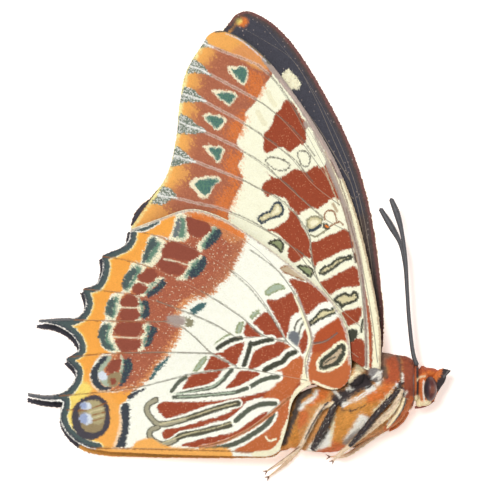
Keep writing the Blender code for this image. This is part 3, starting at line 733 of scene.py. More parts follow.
    details: tuple[Mark | Stroke, ...] = (
        *lines(Tint.PALE_OLIVE, 5.0, ((268, 92), (271, 99), (275, 105)),
               ((258, 112), (261, 118), (265, 124)), strength=0.35),
        *rimmed(Tint.LINE_GREY, 1.2, Tint.LEMON_CREAM,
                ((265, 161), (269, 157), (277, 157), (285, 160), (291, 165), (287, 170), (280, 171),
                 (272, 168)),
                ((297, 153), (303, 150), (309, 153), (311, 160), (308, 167), (303, 166), (299, 160))),
        Mark(((257, 220), (259, 216), (264, 212.5), (269, 210.5), (272, 206), (275, 202.5),
              (279, 201), (283, 205), (284, 211), (282, 216), (276, 218.5), (270, 220), (265, 223),
              (262, 224.5), (259, 222)),
             ((0.0, Tint.BLUE_BLACK), (2.4, Tint.PALE_OLIVE), (4.6, Tint.WARM_CREAM))),
        Mark(((306, 222), (308, 218.5), (313, 216), (319, 216.5), (323, 219), (322, 225), (319, 228),
              (313, 231), (308, 229)),
             ((0.0, Tint.OLIVE), (1.8, Tint.PALE_OLIVE), (4.2, Tint.WARM_CREAM))),
        *lines(Tint.BLUE_BLACK, 3.4, ((310, 231), (314, 230), (320, 226))),
        *lines(Tint.OLIVE, 1.8, ((311, 235), (315, 237), (322, 233), (328, 229))),
        *plain(Tint.DARK_OLIVE, 0.6,
               ((323, 223), (328, 224), (331, 228), (327, 230), (323, 228))),
        *lines(Tint.DEEP_ORANGE, 2.0, ((326, 226), (328, 227))),
        *lines(Tint.LINE_BROWN, 1.6, ((331, 226), (335, 224), (340, 222), (343, 225)),
               ((325, 220), (325, 214), (328, 211), (333, 211), (336, 216), (337, 222))),
        *lines(Tint.TAN, 3.0, ((333, 204), (337, 211))),
        Mark(((319, 275), (320, 270), (324, 266), (330, 264), (334, 260), (340, 257), (346, 256),
              (351, 254.5), (353, 258), (348, 261), (341, 264), (336, 268), (330, 272),
              (324, 275.5)),
             ((0.0, Tint.BLACK_GREEN), (2.8, Tint.PALE_OLIVE))),
        *lines(Tint.BLACK_GREEN, 2.4, ((354.5, 254), (356.5, 262)), ((362.5, 320), (361, 332))),
        Mark(((333, 300), (335, 297), (340, 294), (345, 292.5), (350, 294), (353, 291), (357, 292),
              (359, 297), (356, 302), (350, 304), (345, 306), (341, 309.5), (340, 306)),
             ((0.0, Tint.BLACK_GREEN), (3.0, Tint.PALE_OLIVE))),
        *plain(Tint.BLACK_GREEN, 0.6,
               ((348, 330), (353, 329), (357, 330), (358, 334), (354, 340), (350, 342), (348, 336))),
        *rimmed(Tint.BLACK_GREEN, 2.2, Tint.MOSS,
                ((268, 243), (273, 240), (277, 239), (281, 240), (284, 244), (284, 249), (281, 254),
                 (278, 249), (273, 246)),
                ((297, 266), (303, 265), (309, 266), (313, 269), (314, 273), (310, 278), (306, 275),
                 (301, 271))),
    )
    costa: Points = ((380, 371), (380, 330), (371, 275), (356, 213), (340, 170))
    shoulder: tuple[Mark | Stroke, ...] = (
        # The first stroke, a wide mauve band along the costal edge, is a painted sheen with painted
        # shade.
        Stroke(((342, 174), (334, 158), (318, 131), (300, 102), (280, 76), (266, 59)), (10.0, 8.0),
               Tint.MAUVE),
        Stroke(((270, 63), (263, 55), (250, 44), (238, 36), (226, 31), (215, 31)), (3.4, 2.6),
               Tint.LINE_GREY),
        *lines(Tint.PALE_MIST, 1.2, ((266, 61), (250, 47), (238, 38.5), (226, 33.5)), strength=0.8),
        *lines(Tint.PALE_MAUVE, 1.4, ((338, 172), (322, 143), (300, 106), (280, 80)), strength=0.5),
        *lines(Tint.DARK_MAUVE, 1.4, ((320, 150), (332, 178), (343, 207), (350, 235), (355, 262)),
               ((331, 160), (341, 184), (350, 212), (356, 236)), strength=0.8),
        *lines(Tint.TAN, 1.2, ((316, 148), (328, 177), (339, 205)), ((325, 152), (337, 180),
                                                                   (347, 208), (354, 236))),
        *lines(Tint.WARM_CREAM, 1.5, ((319, 283), (331, 299), (340, 312), (347, 327))),
    )
    stem: Points = ((366, 366), (366, 345), (365.5, 325), (364, 300), (361.5, 270), (358, 250),
                    (352, 228), (346, 208), (338, 188), (330, 169), (320, 149), (306, 124))

    def paint(self, canvas: Canvas) -> None:
        """Paints the underside: ground, bands and patches first, then rings, veins and the costa,
        whose edge has a painted sheen and shade.

        Args:
            canvas: The points to paint.
        """
        canvas.fill(self.outer_zone, Tint.RUST, 0.9)
        for outline in self.glows:
            canvas.fill(outline, Tint.DEEP_ORANGE, 4.0, 0.7, 6.0)
        canvas.flecks(self.outer_zone, 0.10, Tint.SPECK, 0.5)
        canvas.flecks(self.outer_zone, 0.22, Tint.MAROON, 0.3)
        canvas.grade(self.margin, self.bands)
        canvas.fill(((203, 44), (215, 47), (240, 58), (262, 70), (272, 62), (255, 44), (230, 30),
                     (206, 34)), Tint.APRICOT, 2.5, 0.9)
        canvas.fill(((232, 52), (250, 62), (268, 70), (262, 56), (246, 44)), Tint.PEACH, 4.0, 0.8)
        for outline in self.spots:
            canvas.fill(outline, Tint.APRICOT, 3.5, 0.6, 7.0)
        canvas.paint(lines(Tint.PALE_MAUVE, 3.0, *self.outer_veins, strength=0.7))
        canvas.paint(lines(Tint.LINE_BROWN, 0.8, *self.outer_veins, strength=0.8))
        for outer, core in self.teardrops:
            canvas.lay(Mark(outer, ((0.4, Tint.WARM_CREAM),), 0.8, 1.3), 0.9)
            canvas.lay(Mark(core, ((-0.4, Tint.PALE_GREEN), (0.7, Tint.GREEN)), 0.6, 1.2))
            canvas.flecks(core, 0.5, Tint.TEAL, 0.7)
        for outline in self.vein_ends:
            canvas.lay(Mark(outline, ((0.0, Tint.GREY_GREEN),), 0.9, 1.4))
            canvas.flecks(outline, 0.30, Tint.TEAL, 0.5)
            canvas.flecks(outline, 0.35, Tint.WHITE, 0.6)
        canvas.paint(lines(Tint.WHITE, 1.8, *self.streaks, strength=0.8))
        for outline in self.reds:
            canvas.fill(outline, Tint.RED, 0.8)
            canvas.flecks(outline, 0.05, Tint.SPECK, 0.45)
        canvas.draw(Stroke(self.cell_edge, (8.0, 3.0), Tint.BASE_ORANGE))
        canvas.paint(lines(Tint.LINE_GREY, 1.2, *self.inner_veins, strength=0.8))
        canvas.paint(self.details)
        canvas.grade(self.costa, (
            (0.0, Tint.TAN, 1.0), (1.5, Tint.TAN, 0.95), (2.3, Tint.WARM_CREAM, 1.0),
            (7.8, Tint.WARM_CREAM, 1.0), (8.8, Tint.DARK_MAUVE, 0.6), (10.4, Tint.RED, 0.6),
            (12.0, Tint.RED, 0.0),
        ))
        # The costal edge's strokes, the first of them a painted sheen and shade in mauve.
        canvas.paint(self.shoulder)
        canvas.draw(Stroke(self.stem, (3.0, 5.0), Tint.MAUVE, 0.8, 0.9))
        canvas.draw(Stroke(self.stem[:8], (1.0, 1.2), Tint.DARK_MAUVE, 0.5, 0.7))
        canvas.fill(((306, 129), (309, 127), (312, 130), (316, 140), (321, 150), (326, 162),
                     (323, 167), (318, 158), (311, 142)), Tint.LEMON_CREAM, 0.6)
        canvas.shade(0.02, 9.0, 11)


@dataclass(frozen=True)
class Eyespot:
    """One cell's dark crescent, shading through green to white on its inner side.

    Attributes:
        white: The outline of the pale speckled ground.
        green: The outline of the green part.
        dark: The outline of the dark part.
        core: The tint of the dark part.
    """

    white: Points
    green: Points
    dark: Points
    core: Tint

    def paint(self, canvas: Canvas) -> None:
        """Paints the pale ground, the green and the dark part, with stray scales in each.

        Args:
            canvas: The points to paint.
        """
        canvas.lay(Mark(self.white, ((0.0, Tint.WARM_CREAM),), 0.8, 1.7), 0.95)
        canvas.flecks(self.white, 0.18, Tint.PALE_GREEN, 0.7)
        canvas.lay(Mark(self.green, ((0.0, Tint.PALE_GREEN), (1.3, Tint.GREEN)), 0.9, 1.7), 0.9)
        canvas.lay(Mark(self.dark, ((0.0, self.core),), 1.0, 1.5))
        canvas.flecks(self.dark, 0.12, Tint.GREEN, 0.5)


@dataclass(frozen=True)
class HindwingUnderside:
    """The hindwing's underside: rust, orange and slate to the margin, red and olive at the base."""

    ground: Tint = Tint.CREAM
    margin: Points = (
        (131, 229), (127, 243), (102, 256), (103, 268), (97, 283), (83, 289), (86, 304), (79, 316),
        (58, 318.5), (39, 320), (39, 322), (58, 326), (74, 337), (79, 349), (66, 359), (76, 372),
        (69, 388), (50, 395.5), (28, 394), (28, 396), (45, 400.5), (63, 402), (60, 417), (67, 433),
        (84, 446), (96, 449.5),
    )
    bands: tuple[tuple[float, Tint, float], ...] = (
        (0.0, Tint.WHITE, 1.0), (0.5, Tint.WHITE, 0.9), (1.2, Tint.DARK_SLATE, 1.0),
        (4.0, Tint.SLATE, 1.0), (6.6, Tint.SLATE, 1.0), (7.4, Tint.WARM_CREAM, 0.9),
        (8.4, Tint.YELLOW, 0.5), (10.5, Tint.ORANGE, 0.0),
    )
    orange_zone: Points = (
        (176, 215), (174, 228), (171, 237), (156, 236), (150, 237), (146, 250), (141, 262),
        (131, 268), (124, 283), (122, 292), (112, 295), (108, 305), (106, 318), (102, 322),
        (100, 336), (104, 348), (112, 352), (100, 356), (93, 366), (90, 378), (96, 390), (110, 392),
        (132, 390), (127, 400), (120, 406), (120, 420), (116, 438), (112, 449), (100, 470),
        (40, 470), (15, 400), (15, 310), (60, 250), (110, 210), (150, 200),
    )
    rust_zone: Points = (
        (184, 216), (190, 212), (210, 214), (228, 221), (240, 230), (243, 243), (238, 256),
        (232, 268), (228, 276), (218, 285), (213, 293), (203, 297), (192, 300), (182, 308),
        (179, 318), (181, 328), (178, 338), (172, 348), (165, 358), (158, 366), (151, 376),
        (143, 384), (133, 390), (110, 390), (100, 385), (104, 360), (114, 352), (110, 320),
        (118, 296), (128, 290), (135, 270), (148, 262), (158, 238), (172, 240), (182, 236),
    )
    maroons: tuple[Points, ...] = (
        ((186, 218), (196, 217), (207, 222), (212, 230), (206, 235), (198, 237), (190, 234),
         (187, 226)),
        ((168, 242), (178, 242), (188, 246), (196, 250), (199, 256), (192, 261), (183, 261),
         (172, 258), (163, 257), (162, 250)),
        ((160, 259), (168, 258), (178, 263), (185, 269), (180, 275), (170, 274), (162, 270),
         (158, 266)),
        ((148, 268), (155, 270), (157, 275), (153, 281), (146, 283), (139, 279), (137, 275),
         (143, 273)),
        ((134, 286), (139, 283), (146, 286), (147, 290), (141, 294), (134, 294), (132, 290)),
        ((125, 296), (131, 294), (136, 298), (139, 304), (136, 307), (124, 306), (120, 302)),
        ((122, 310), (131, 308), (138, 311), (140, 316), (134, 320), (122, 320), (120, 315)),
        ((117, 324), (130, 322), (142, 324), (141, 331), (137, 336), (124, 336), (114, 334)),
        ((116, 340), (130, 339), (140, 341), (141, 346), (135, 350), (121, 350)),
        ((107, 370), (109, 364), (115, 360), (121, 360), (120, 366), (117, 371), (111, 373)),
        ((110, 379), (115, 377), (117, 381), (113, 385)),
    )
    eyespots: tuple[Eyespot, ...] = (
        Eyespot(((178, 214), (187, 217), (189, 228), (188, 238), (180, 242), (170, 239), (173, 228),
                 (175, 219)),
                ((180, 217), (186, 219), (186, 228), (185, 238), (178, 239), (178, 230), (180, 224)),
                ((178, 218), (181, 222), (180, 230), (177, 237), (173, 237), (174, 230),
                 (176, 224)), Tint.WORN_GREY),
        Eyespot(((150, 235), (160, 238), (167, 243), (164, 252), (161, 259), (155, 265), (150, 268),
                 (142, 263), (142, 256), (146, 246)),
                ((156, 239), (161, 243), (159, 250), (155, 257), (150, 263), (145, 263), (148, 254),
                 (152, 246)),
                ((153, 237), (157, 240), (155, 247), (150, 254), (147, 260), (143, 263), (143, 257),
                 (146, 248), (149, 241)), Tint.SLATE),
        Eyespot(((133, 262), (146, 268), (140, 275), (138, 281), (150, 284), (146, 287), (136, 284),
                 (131, 292), (124, 292), (124, 280), (129, 270)),
                ((137, 264), (142, 268), (140, 275), (136, 281), (130, 289), (126, 291), (126, 286),
                 (131, 279), (134, 272)),
                ((134, 267), (137, 272), (134, 277), (129, 284), (125, 290), (122, 285), (124, 278),
                 (129, 272)), Tint.SLATE),
        Eyespot(((118, 293), (123, 295), (120, 302), (121, 307), (118, 315), (114, 321), (107, 319),
                 (105, 310), (109, 301), (113, 296)),
                ((117, 295), (119, 300), (117, 306), (117, 313), (113, 319), (109, 317), (112, 308),
                 (113, 301)),
                ((113, 298), (115, 302), (113, 309), (112, 316), (107, 314), (106, 308),
                 (109, 301)), Tint.SLATE),
        Eyespot(((106, 322), (117, 323), (114, 330), (112, 337), (116, 343), (121, 351), (113, 353),
                 (104, 348), (99, 336), (101, 327)),
                ((109, 323), (112, 326), (110, 333), (110, 340), (114, 346), (116, 351), (109, 350),
                 (104, 344), (105, 334), (106, 327)),
                ((104, 324), (108, 325), (107, 332), (106, 340), (110, 346), (113, 350), (106, 348),
                 (101, 342), (98, 335), (101, 327)), Tint.SLATE),
        Eyespot(((210, 226), (215, 228), (208, 240), (201, 252), (197, 247), (203, 238)),
                ((214, 227), (218, 230), (212, 240), (204, 250), (201, 246), (207, 236)),
                ((218, 229), (222, 232), (219, 239), (212, 246), (205, 250), (207, 242),
                 (213, 234)), Tint.BLUE_BLACK),
        Eyespot(((189, 258), (203, 256), (200, 263), (194, 272), (185, 280), (176, 279), (182, 275),
                 (188, 268)),
                ((195, 260), (201, 258), (198, 266), (192, 274), (186, 279), (185, 275),
                 (190, 267)),
                ((204, 256), (207, 261), (204, 270), (197, 276), (189, 279), (190, 272),
                 (197, 264)), Tint.BLUE_BLACK),
        Eyespot(((136, 281), (150, 284), (157, 278), (165, 278), (158, 284), (150, 291), (143, 297),
                 (135, 296), (146, 291), (148, 287)),
                ((159, 280), (155, 286), (150, 291), (146, 295), (144, 293), (148, 288),
                 (153, 282)),
                ((163, 279), (166, 284), (162, 290), (156, 294), (149, 297), (147, 294), (153, 289),
                 (158, 284)), Tint.BLUE_BLACK),
        Eyespot(((137, 299), (142, 304), (142, 313), (140, 321), (135, 320), (139, 313), (136, 306)),
                ((140, 299), (144, 304), (144, 311), (142, 319), (139, 317), (141, 310),
                 (139, 303)),
                ((144, 300), (149, 303), (150, 310), (148, 318), (144, 319), (142, 315), (145, 309),
                 (143, 303)), Tint.BLUE_BLACK),
        Eyespot(((142, 326), (148, 323), (151, 330), (147, 339), (145, 348), (139, 351), (138, 347),
                 (143, 341), (140, 337), (145, 332)),
                ((148, 323), (151, 328), (149, 335), (147, 342), (144, 347), (143, 341), (146, 335),
                 (146, 329)),
                ((152, 325), (157, 328), (156, 334), (152, 341), (149, 346), (145, 347), (147, 341),
                 (148, 335), (150, 330)), Tint.BLUE_BLACK),
        Eyespot(((121, 355), (125, 361), (123, 369), (122, 377), (119, 384), (118, 376), (121, 368)),
                ((123, 357), (126, 361), (124, 369), (122, 377), (120, 379), (121, 370),
                 (122, 363)),
                ((126, 358), (131, 360), (133, 367), (130, 375), (125, 383), (120, 386), (120, 380),
                 (123, 372), (124, 364)), Tint.BLUE_BLACK),
    )
    eye_marks: tuple[Mark | Stroke, ...] = (
        *plain(Tint.PALE_GREEN, 1.0,
               ((106, 356), (112, 357), (108, 364), (104, 370), (108, 377), (112, 386), (104, 386),
                (98, 374), (100, 364))),
        *plain(Tint.DARK_SLATE, 0.9,
               ((103, 357), (98, 362), (92, 370), (91, 378), (94, 385), (100, 390), (108, 390),
                (112, 387), (105, 386), (100, 381), (98, 373), (101, 365), (107, 360), (108, 356))),
        *plain(Tint.PALE_MIST, 1.0, ((99, 373), (103, 371), (107, 375), (107, 379), (103, 381),
                                     (99, 378))),
        *plain(Tint.BROWN_BUFF, 1.0, ((110, 374), (117, 372), (121, 373), (121, 379), (118, 385),
                                      (112, 387), (108, 383))),
        *plain(Tint.MAROON, 0.8,
               ((107, 370), (109, 364), (115, 360), (121, 360), (120, 366), (117, 371), (111, 373)),
               ((111, 379), (116, 378), (116, 383), (112, 384))),
        *plain(Tint.EDGE_DARK, 0.8,
               ((92, 395), (100, 396), (107, 402), (110, 411), (110, 421), (107, 430), (100, 437),
                (90, 440), (81, 437), (74, 429), (72, 419), (73, 409), (79, 401), (85, 397))),
        *plain(Tint.BROWN_BUFF, 0.9,
               ((85, 402), (93, 399.5), (101, 402), (105.5, 410), (105, 421), (101, 430), (92, 433),
                (84, 430), (80, 420), (79, 410))),
        *plain(Tint.BUFF, 1.6,
               ((88, 402), (95, 400.5), (101, 404), (104, 412), (103, 422), (96, 424), (88, 416))),
        *lines(Tint.LINE_BROWN, 1.5, ((78, 411), (92, 408), (106, 403)), ((93, 415), (105, 412)),
               ((92, 421), (103, 418)), strength=0.8),
        *lines(Tint.PALE_OLIVE, 1.4, ((90, 412), (104, 408)), ((92, 418), (104, 415)),
               strength=0.7),
        *plain(Tint.PALE_MIST, 1.2, ((83, 403), (90, 403), (92, 407), (85, 409), (81, 407)),
               ((85, 413), (91, 415), (92, 422), (86, 425))),
        *plain(Tint.MIST, 1.2, ((81, 404), (86, 403), (86, 408), (81, 408)),
               ((80, 415), (85, 413), (88, 418), (86, 424), (81, 422))),
    )
    reds: tuple[Points, ...] = (
        ((267, 300), (275, 300), (285, 296), (291, 292), (296, 300), (300, 308), (297, 315),
         (291, 322), (288, 332), (286, 338), (284, 334), (278, 322), (272, 311)),
        ((266, 312), (270, 315), (277, 325), (283, 337), (272, 338), (265, 334), (258, 327),
         (253, 323), (260, 316)),
        ((247, 323), (253, 328), (261, 336), (254, 337), (244, 336), (245, 328)),
        ((271, 343), (280, 341), (289, 345), (290, 350), (275, 358), (266, 362), (258, 367),
         (249, 369), (250, 360), (254, 352), (262, 347)),
        ((238, 343), (244, 341), (243, 350), (240, 357), (236, 365), (229, 362), (221, 356),
         (213, 354), (222, 352), (230, 347)),
        ((212, 356), (220, 359), (231, 366), (224, 369), (212, 370), (204, 370), (208, 362)),
        ((190, 376), (200, 373), (212, 372), (222, 371), (218, 377), (209, 384), (197, 389),
         (182, 392), (185, 384)),
        ((240, 371), (250, 371), (261, 373), (252, 379), (243, 384), (232, 388), (226, 388),
         (234, 379)),
        ((305, 329), (308, 336), (307, 346), (303, 354), (298, 346), (301, 338)),
        ((289, 280), (295, 279), (302, 281), (308, 282), (313, 281), (320, 288), (328, 296),
         (332, 301), (325, 302), (318, 305), (311, 312), (306, 315), (302, 306), (297, 293),
         (292, 285)),
        ((157, 408), (160, 403), (168, 401.5), (195, 401.5), (220, 400), (240, 397), (255, 394),
         (270, 390), (285, 385), (300, 381), (306, 384), (300, 391), (292, 397), (284, 397),
         (262, 397.5), (250, 400), (243, 403), (238, 401.5), (225, 402.5), (210, 405), (197, 409),
         (180, 415), (166, 418), (162, 415)),
        ((162, 434), (164, 430), (178, 427), (200, 421), (218, 416), (230, 411), (240, 403),
         (244, 404), (238, 411), (229, 418), (214, 422), (196, 428), (182, 432), (172, 438),
         (166, 440)),
        ((182, 445), (200, 439), (218, 435), (235, 431), (250, 421), (262, 413), (272, 410),
         (266, 417), (255, 425), (242, 433), (225, 439), (205, 446)),
    )
    base_zone: Points = (
        (286, 346), (296, 350), (304, 360), (303, 378), (296, 386), (292, 396), (290, 410),
        (286, 430), (282, 446), (270, 451), (235, 450), (246, 440), (262, 424), (272, 408),
        (262, 400), (276, 384), (282, 372), (272, 372), (276, 362), (288, 356),
    )
    front_zone: Points = (
        (312, 352), (313, 342), (317, 332), (325, 326), (333, 321), (340, 317), (346, 325),
        (350, 345), (351, 365), (346, 383), (336, 390), (322, 388), (311, 384), (308, 368),
    )
    bars: tuple[Mark | Stroke, ...] = (
        *rimmed(Tint.MOSS, 1.6, Tint.PALE_GREEN,
                ((265, 292), (268, 288), (273, 284.5), (279, 283.5), (284, 285), (285, 289),
                 (280, 290.5), (274, 293), (269, 296), (266, 295)),
                ((250, 318), (252, 313), (256, 310.5), (260, 310), (260, 313), (256, 316),
                 (252, 319.5)),
                ((236, 331), (237, 326), (240, 322), (243, 321.5), (244, 325), (242, 331), (241, 335),
                 (238, 336)),
                ((214, 346), (217, 341), (222, 338), (227, 334.5), (231, 333.5), (233, 337),
                 (229, 341), (222, 345), (217, 348)),
                ((193, 371), (196, 366), (201, 359), (206, 355.5), (207, 359), (203, 366),
                 (198, 371))),
        *edged(Tint.BLACK_GREEN, 4.6, ((218, 348), (224, 344), (232, 340), (241, 338)),
               ((272, 339.5), (263, 341), (254, 344)), ((251, 343), (248, 354), (244, 365)),
               edge=2.4),
        *edged(Tint.BLACK_GREEN, 5.4, ((265, 370), (274, 365), (283, 361), (288, 355), (295, 352)),
               edge=3.4),
        *edged(Tint.OLIVE_BLACK, 4.6,
               ((247, 388), (253, 385), (260, 381), (268, 378), (278, 376.5)), edge=2.8),
        *edged(Tint.OLIVE_BLACK, 4.2,
               ((174, 395), (190, 392), (205, 389), (215, 386), (223, 380), (229, 373), (232, 370)),
               edge=2.0),
        *edged(Tint.OLIVE_BLACK, 4.0,
               ((174, 397), (190, 396.5), (205, 395), (220, 394), (235, 392), (247, 388)),
               edge=2.0),
        *lines(Tint.OLIVE_BLACK, 4.0, ((172, 391), (178, 383), (186, 377))),
        *lines(Tint.PALE_GREEN, 1.4, ((176, 394.5), (192, 391.5), (206, 388.5), (216, 384.5),
                                      (224, 377)), ((178, 397), (205, 395), (235, 392))),
        *plain(Tint.TEAL, 0.9,
               ((169, 357), (166, 363), (160, 369), (154, 377), (150, 380), (152, 374), (158, 365),
                (164, 360)),
               ((190, 311), (197, 305), (201, 303), (206, 303), (205, 307), (200, 311), (194, 314)),
               ragged=1.8),
        *plain(Tint.DARK_SLATE, 0.9,
               ((146, 388), (139, 393), (131, 399), (127, 400), (130, 394), (138, 390)),
               ((122, 405), (129, 404), (130, 416), (129, 428), (127, 437), (125, 446), (117, 447),
                (118, 441), (121, 434), (122, 422), (121, 412)), ragged=1.5),
        *plain(Tint.MAUVE, 2.4,
               ((167, 318), (172, 315), (180, 316), (187, 320), (185, 325), (174, 326),
                (168, 322)), ragged=2.0),
        *plain(Tint.OLIVE, 1.0, ((186, 318), (193, 319), (193, 325), (187, 327)), ragged=2.0),
    )
    front_marks: tuple[Mark | Stroke, ...] = (
        Mark(((307, 325), (309, 321), (313, 318), (318, 312), (323, 308.5), (330, 309), (334, 306),
              (337, 309), (336, 313), (330, 316), (323, 319), (316, 323), (311, 326)),
             ((0.0, Tint.BLACK_GREEN), (2.6, Tint.PALE_OLIVE))),
        *rimmed(Tint.LINE_BROWN, 1.3, Tint.TAN,
                ((280, 268), (287, 265.5), (293, 268), (300, 272), (306, 277), (309, 281), (303, 281),
                 (296, 278), (288, 275), (283, 272))),
        *lines(Tint.DEEP_ORANGE, 5.5, ((194, 216), (212, 221), (228, 228), (242, 236)),
               strength=0.75),
        *lines(Tint.DARK_MAUVE, 2.0, ((314, 343), (325, 341), (337, 333))),
        *plain(Tint.CREAM, 0.7, ((291, 318), (298, 313), (305, 316), (302, 324), (299, 334),
                                 (298, 343), (292, 334))),
        *lines(Tint.DARK_OLIVE, 1.7, ((295, 334), (295, 327), (298, 321), (302, 318)),
               ((299, 334), (301, 327), (304, 321))),
        *plain(Tint.WORN_GREY, 1.2,
               ((288, 336), (290, 332), (294, 331), (299, 334), (299, 341), (297, 346),
                (292, 342))),
        Mark(((316, 366), (317, 360), (322, 354), (330, 348), (337, 342), (342, 340), (347, 343),
              (348, 352), (345, 360), (340, 366), (332, 370), (324, 372), (318, 371)),
             ((0.0, Tint.WARM_CREAM), (2.8, Tint.BLACK_GREEN), (6.9, Tint.TAN))),
        *lines(Tint.BLACK_GREEN, 1.3, ((325, 363), (330, 359), (335, 357)),
               ((330, 365), (336, 361), (340, 354))),
        *lines(Tint.WARM_CREAM, 2.4, ((313, 381), (320, 384), (330, 388), (339, 389))),
        *lines(Tint.WARM_CREAM, 3.6, ((304, 378), (305.5, 362), (308.5, 350), (310.5, 342),
                                      (308, 329), (302, 312), (296, 297))),
        *lines(Tint.MAUVE, 1.7, ((306, 378), (307.5, 362), (310.5, 350), (312.5, 342), (310, 329),
                                 (304, 312), (298, 297))),
        *plain(Tint.WARM_CREAM, 1.0, ((302, 374), (307, 374), (309, 384), (302, 387))),
    )
    anal_marks: tuple[Mark | Stroke, ...] = (
        *edged(Tint.DARK_OLIVE, 6.2,
               ((156, 400), (149, 404), (147, 410), (151, 417), (157, 423), (165, 424), (185, 419),
                (200, 414), (215, 409), (228, 405), (238, 403)),
               ((158, 427), (151, 430), (150, 436), (155, 441), (163, 444), (175, 440), (180, 436),
                (200, 432), (215, 428), (230, 424), (240, 417)), edge=1.6),
        *lines(Tint.STONE, 3.8,
               ((156, 400), (149, 404), (147, 410), (151, 417), (157, 423), (165, 424), (185, 419)),
               ((158, 427), (151, 430), (150, 436), (155, 441), (163, 444), (175, 440))),
        *edged(Tint.OLIVE_BLACK, 5.0, ((236, 420), (248, 410), (258, 405), (268, 403), (275, 403)),
               edge=2.8),
        *edged(Tint.OLIVE_BLACK, 5.0, ((205, 449), (225, 446), (240, 441), (255, 432), (265, 425),
                                       (271, 418), (273, 413)), edge=2.6),
        *lines(Tint.PALE_OLIVE, 1.3,
               ((160, 424), (185, 418.5), (215, 408.5), (236, 403)),
               ((163, 443), (185, 434.5), (215, 427.5), (232, 422)), strength=0.7),
        *edged(Tint.LINE_BROWN, 1.5, ((300, 391), (291, 396), (283, 403), (275, 410), (265, 418),
                                      (250, 428), (235, 436), (220, 442), (200, 447)),
               edge=1.0, rim=Tint.SPECK),
        *lines(Tint.WARM_CREAM, 1.8, ((266, 436), (269, 440), (276, 438.5))),
        *plain(Tint.APRICOT, 1.6, ((138, 441), (150, 438), (165, 445), (190, 448), (230, 449),
                                   (232, 458), (90, 458), (96, 449), (130, 448))),
        *lines(Tint.LINE_BROWN, 1.4, ((92, 448), (130, 448.5), (170, 449.5), (225, 450.5),
                                      (262, 452)), strength=0.8),
    )
    pale_veins: tuple[Points, ...] = (
        ((131, 230), (145, 233), (160, 237), (172, 242)), ((103, 257), (120, 259), (140, 264),
                                                           (152, 268)),
        ((84, 289), (105, 291), (122, 293)), ((75, 320), (110, 321), (150, 322)),
        ((70, 357), (100, 354), (125, 353)), ((60, 396), (100, 392), (140, 387)),
        ((68, 410), (74, 410)),
    )
    inner_veins: tuple[Points, ...] = (
        ((230, 270), (240, 279), (250, 288), (258, 298), (266, 308), (273, 319), (280, 331),
         (286, 341)),
        ((201, 291), (215, 299), (230, 309), (243, 318), (252, 327), (260, 334), (270, 338),
         (287, 342)),
        ((155, 300), (180, 310), (200, 318), (215, 325), (237, 337)),
        ((150, 322), (170, 322), (183, 328), (195, 337), (203, 345), (210, 352), (220, 358),
         (238, 368)),
        ((125, 353), (160, 352.5), (211, 353.5)),
        ((140, 387), (160, 382), (175, 378), (190, 374), (203, 372), (220, 370), (238, 368),
         (255, 370), (268, 372.5), (280, 376)),
        ((250, 250), (270, 264), (280, 273), (288, 283), (296, 295)),
    )
    costa: Points = ((131, 229), (158, 219), (192, 209), (225, 219), (255, 238), (296, 269),
                     (329, 297), (347, 330), (351, 362))
    inner_edge: Points = ((308, 384), (299, 390), (293, 400), (291, 415), (285, 430), (281, 443),
                          (272, 451), (255, 454))

    def paint(self, canvas: Canvas) -> None:
        """Paints the underside from the distal zones and margin to the base and the inner edge.

        Args:
            canvas: The points to paint.
        """
        canvas.fill(self.orange_zone, Tint.ORANGE, 1.2)
        canvas.fill(((60, 375), (95, 380), (110, 394), (124, 420), (110, 470), (40, 470), (40, 390)),
                    Tint.APRICOT, 3.0, 0.55)
        canvas.fill(((62, 390), (80, 380), (92, 388), (86, 398), (75, 406), (73, 420), (78, 436),
                     (66, 436), (56, 420), (58, 400)), Tint.YELLOW, 2.4, 0.85)
        canvas.lay(Mark(self.rust_zone, ((-1.0, Tint.PEACH), (4.5, Tint.HIND_RUST)), 2.6, 4.2))
        canvas.fill(((184, 213), (215, 214), (243, 230), (246, 243), (236, 246), (216, 232),
                     (196, 224)), Tint.PEACH, 2.4, 0.7, 2.0)
        canvas.fill(((243, 240), (236, 262), (224, 280), (205, 296), (192, 296), (206, 284),
                     (220, 266), (230, 246)), Tint.RUST, 2.4, 0.8, 2.0)
        canvas.flecks(self.rust_zone, 0.14, Tint.SPECK, 0.5)
        canvas.flecks(self.rust_zone, 0.24, Tint.MAROON, 0.35)
        canvas.flecks(self.rust_zone, 0.04, Tint.WARM_CREAM, 0.55)
        canvas.grade(self.margin, self.bands)
        canvas.paint(lines(Tint.TAIL_GREY, 3.6, ((70, 318.5), (39, 320.5)), ((52, 397), (28, 395)),
                           strength=0.9))
        for spot in self.eyespots:
            spot.paint(canvas)
        for outline in self.maroons:
            canvas.lay(Mark(outline, ((0.0, Tint.MAROON),), 0.8, 1.4))
        canvas.paint(lines(Tint.WARM_CREAM, 1.4, ((120, 307.5), (140, 308)), ((113, 337), (140, 338)),
                           ((164, 259), (178, 262), (190, 266)), strength=0.7))
        canvas.paint(self.eye_marks)
        for outline in self.reds:
            canvas.fill(outline, Tint.RED, 0.8)
            canvas.flecks(outline, 0.06, Tint.SPECK, 0.5)
        canvas.fill(self.base_zone, Tint.WARM_RUST, 1.6)
        canvas.flecks(self.base_zone, 0.10, Tint.SPECK, 0.6)
        canvas.fill(self.front_zone, Tint.WARM_RUST, 0.9)
        canvas.fill(self.front_zone[:7] + ((350, 345), (330, 350)), Tint.BRIGHT_RED, 2.0, 0.8)
        canvas.paint(lines(Tint.LINE_GREY, 1.1, *self.inner_veins, strength=0.75))
        canvas.paint(self.bars)
        canvas.paint(self.anal_marks)
        canvas.paint(self.front_marks)
        canvas.paint(lines(Tint.LINE_BROWN, 1.2, *self.pale_veins, strength=0.75))
        canvas.paint(edged(Tint.SLATE, 3.4, ((133, 229), (142, 229.5), (150, 227), (158, 222)),
                           edge=1.0))
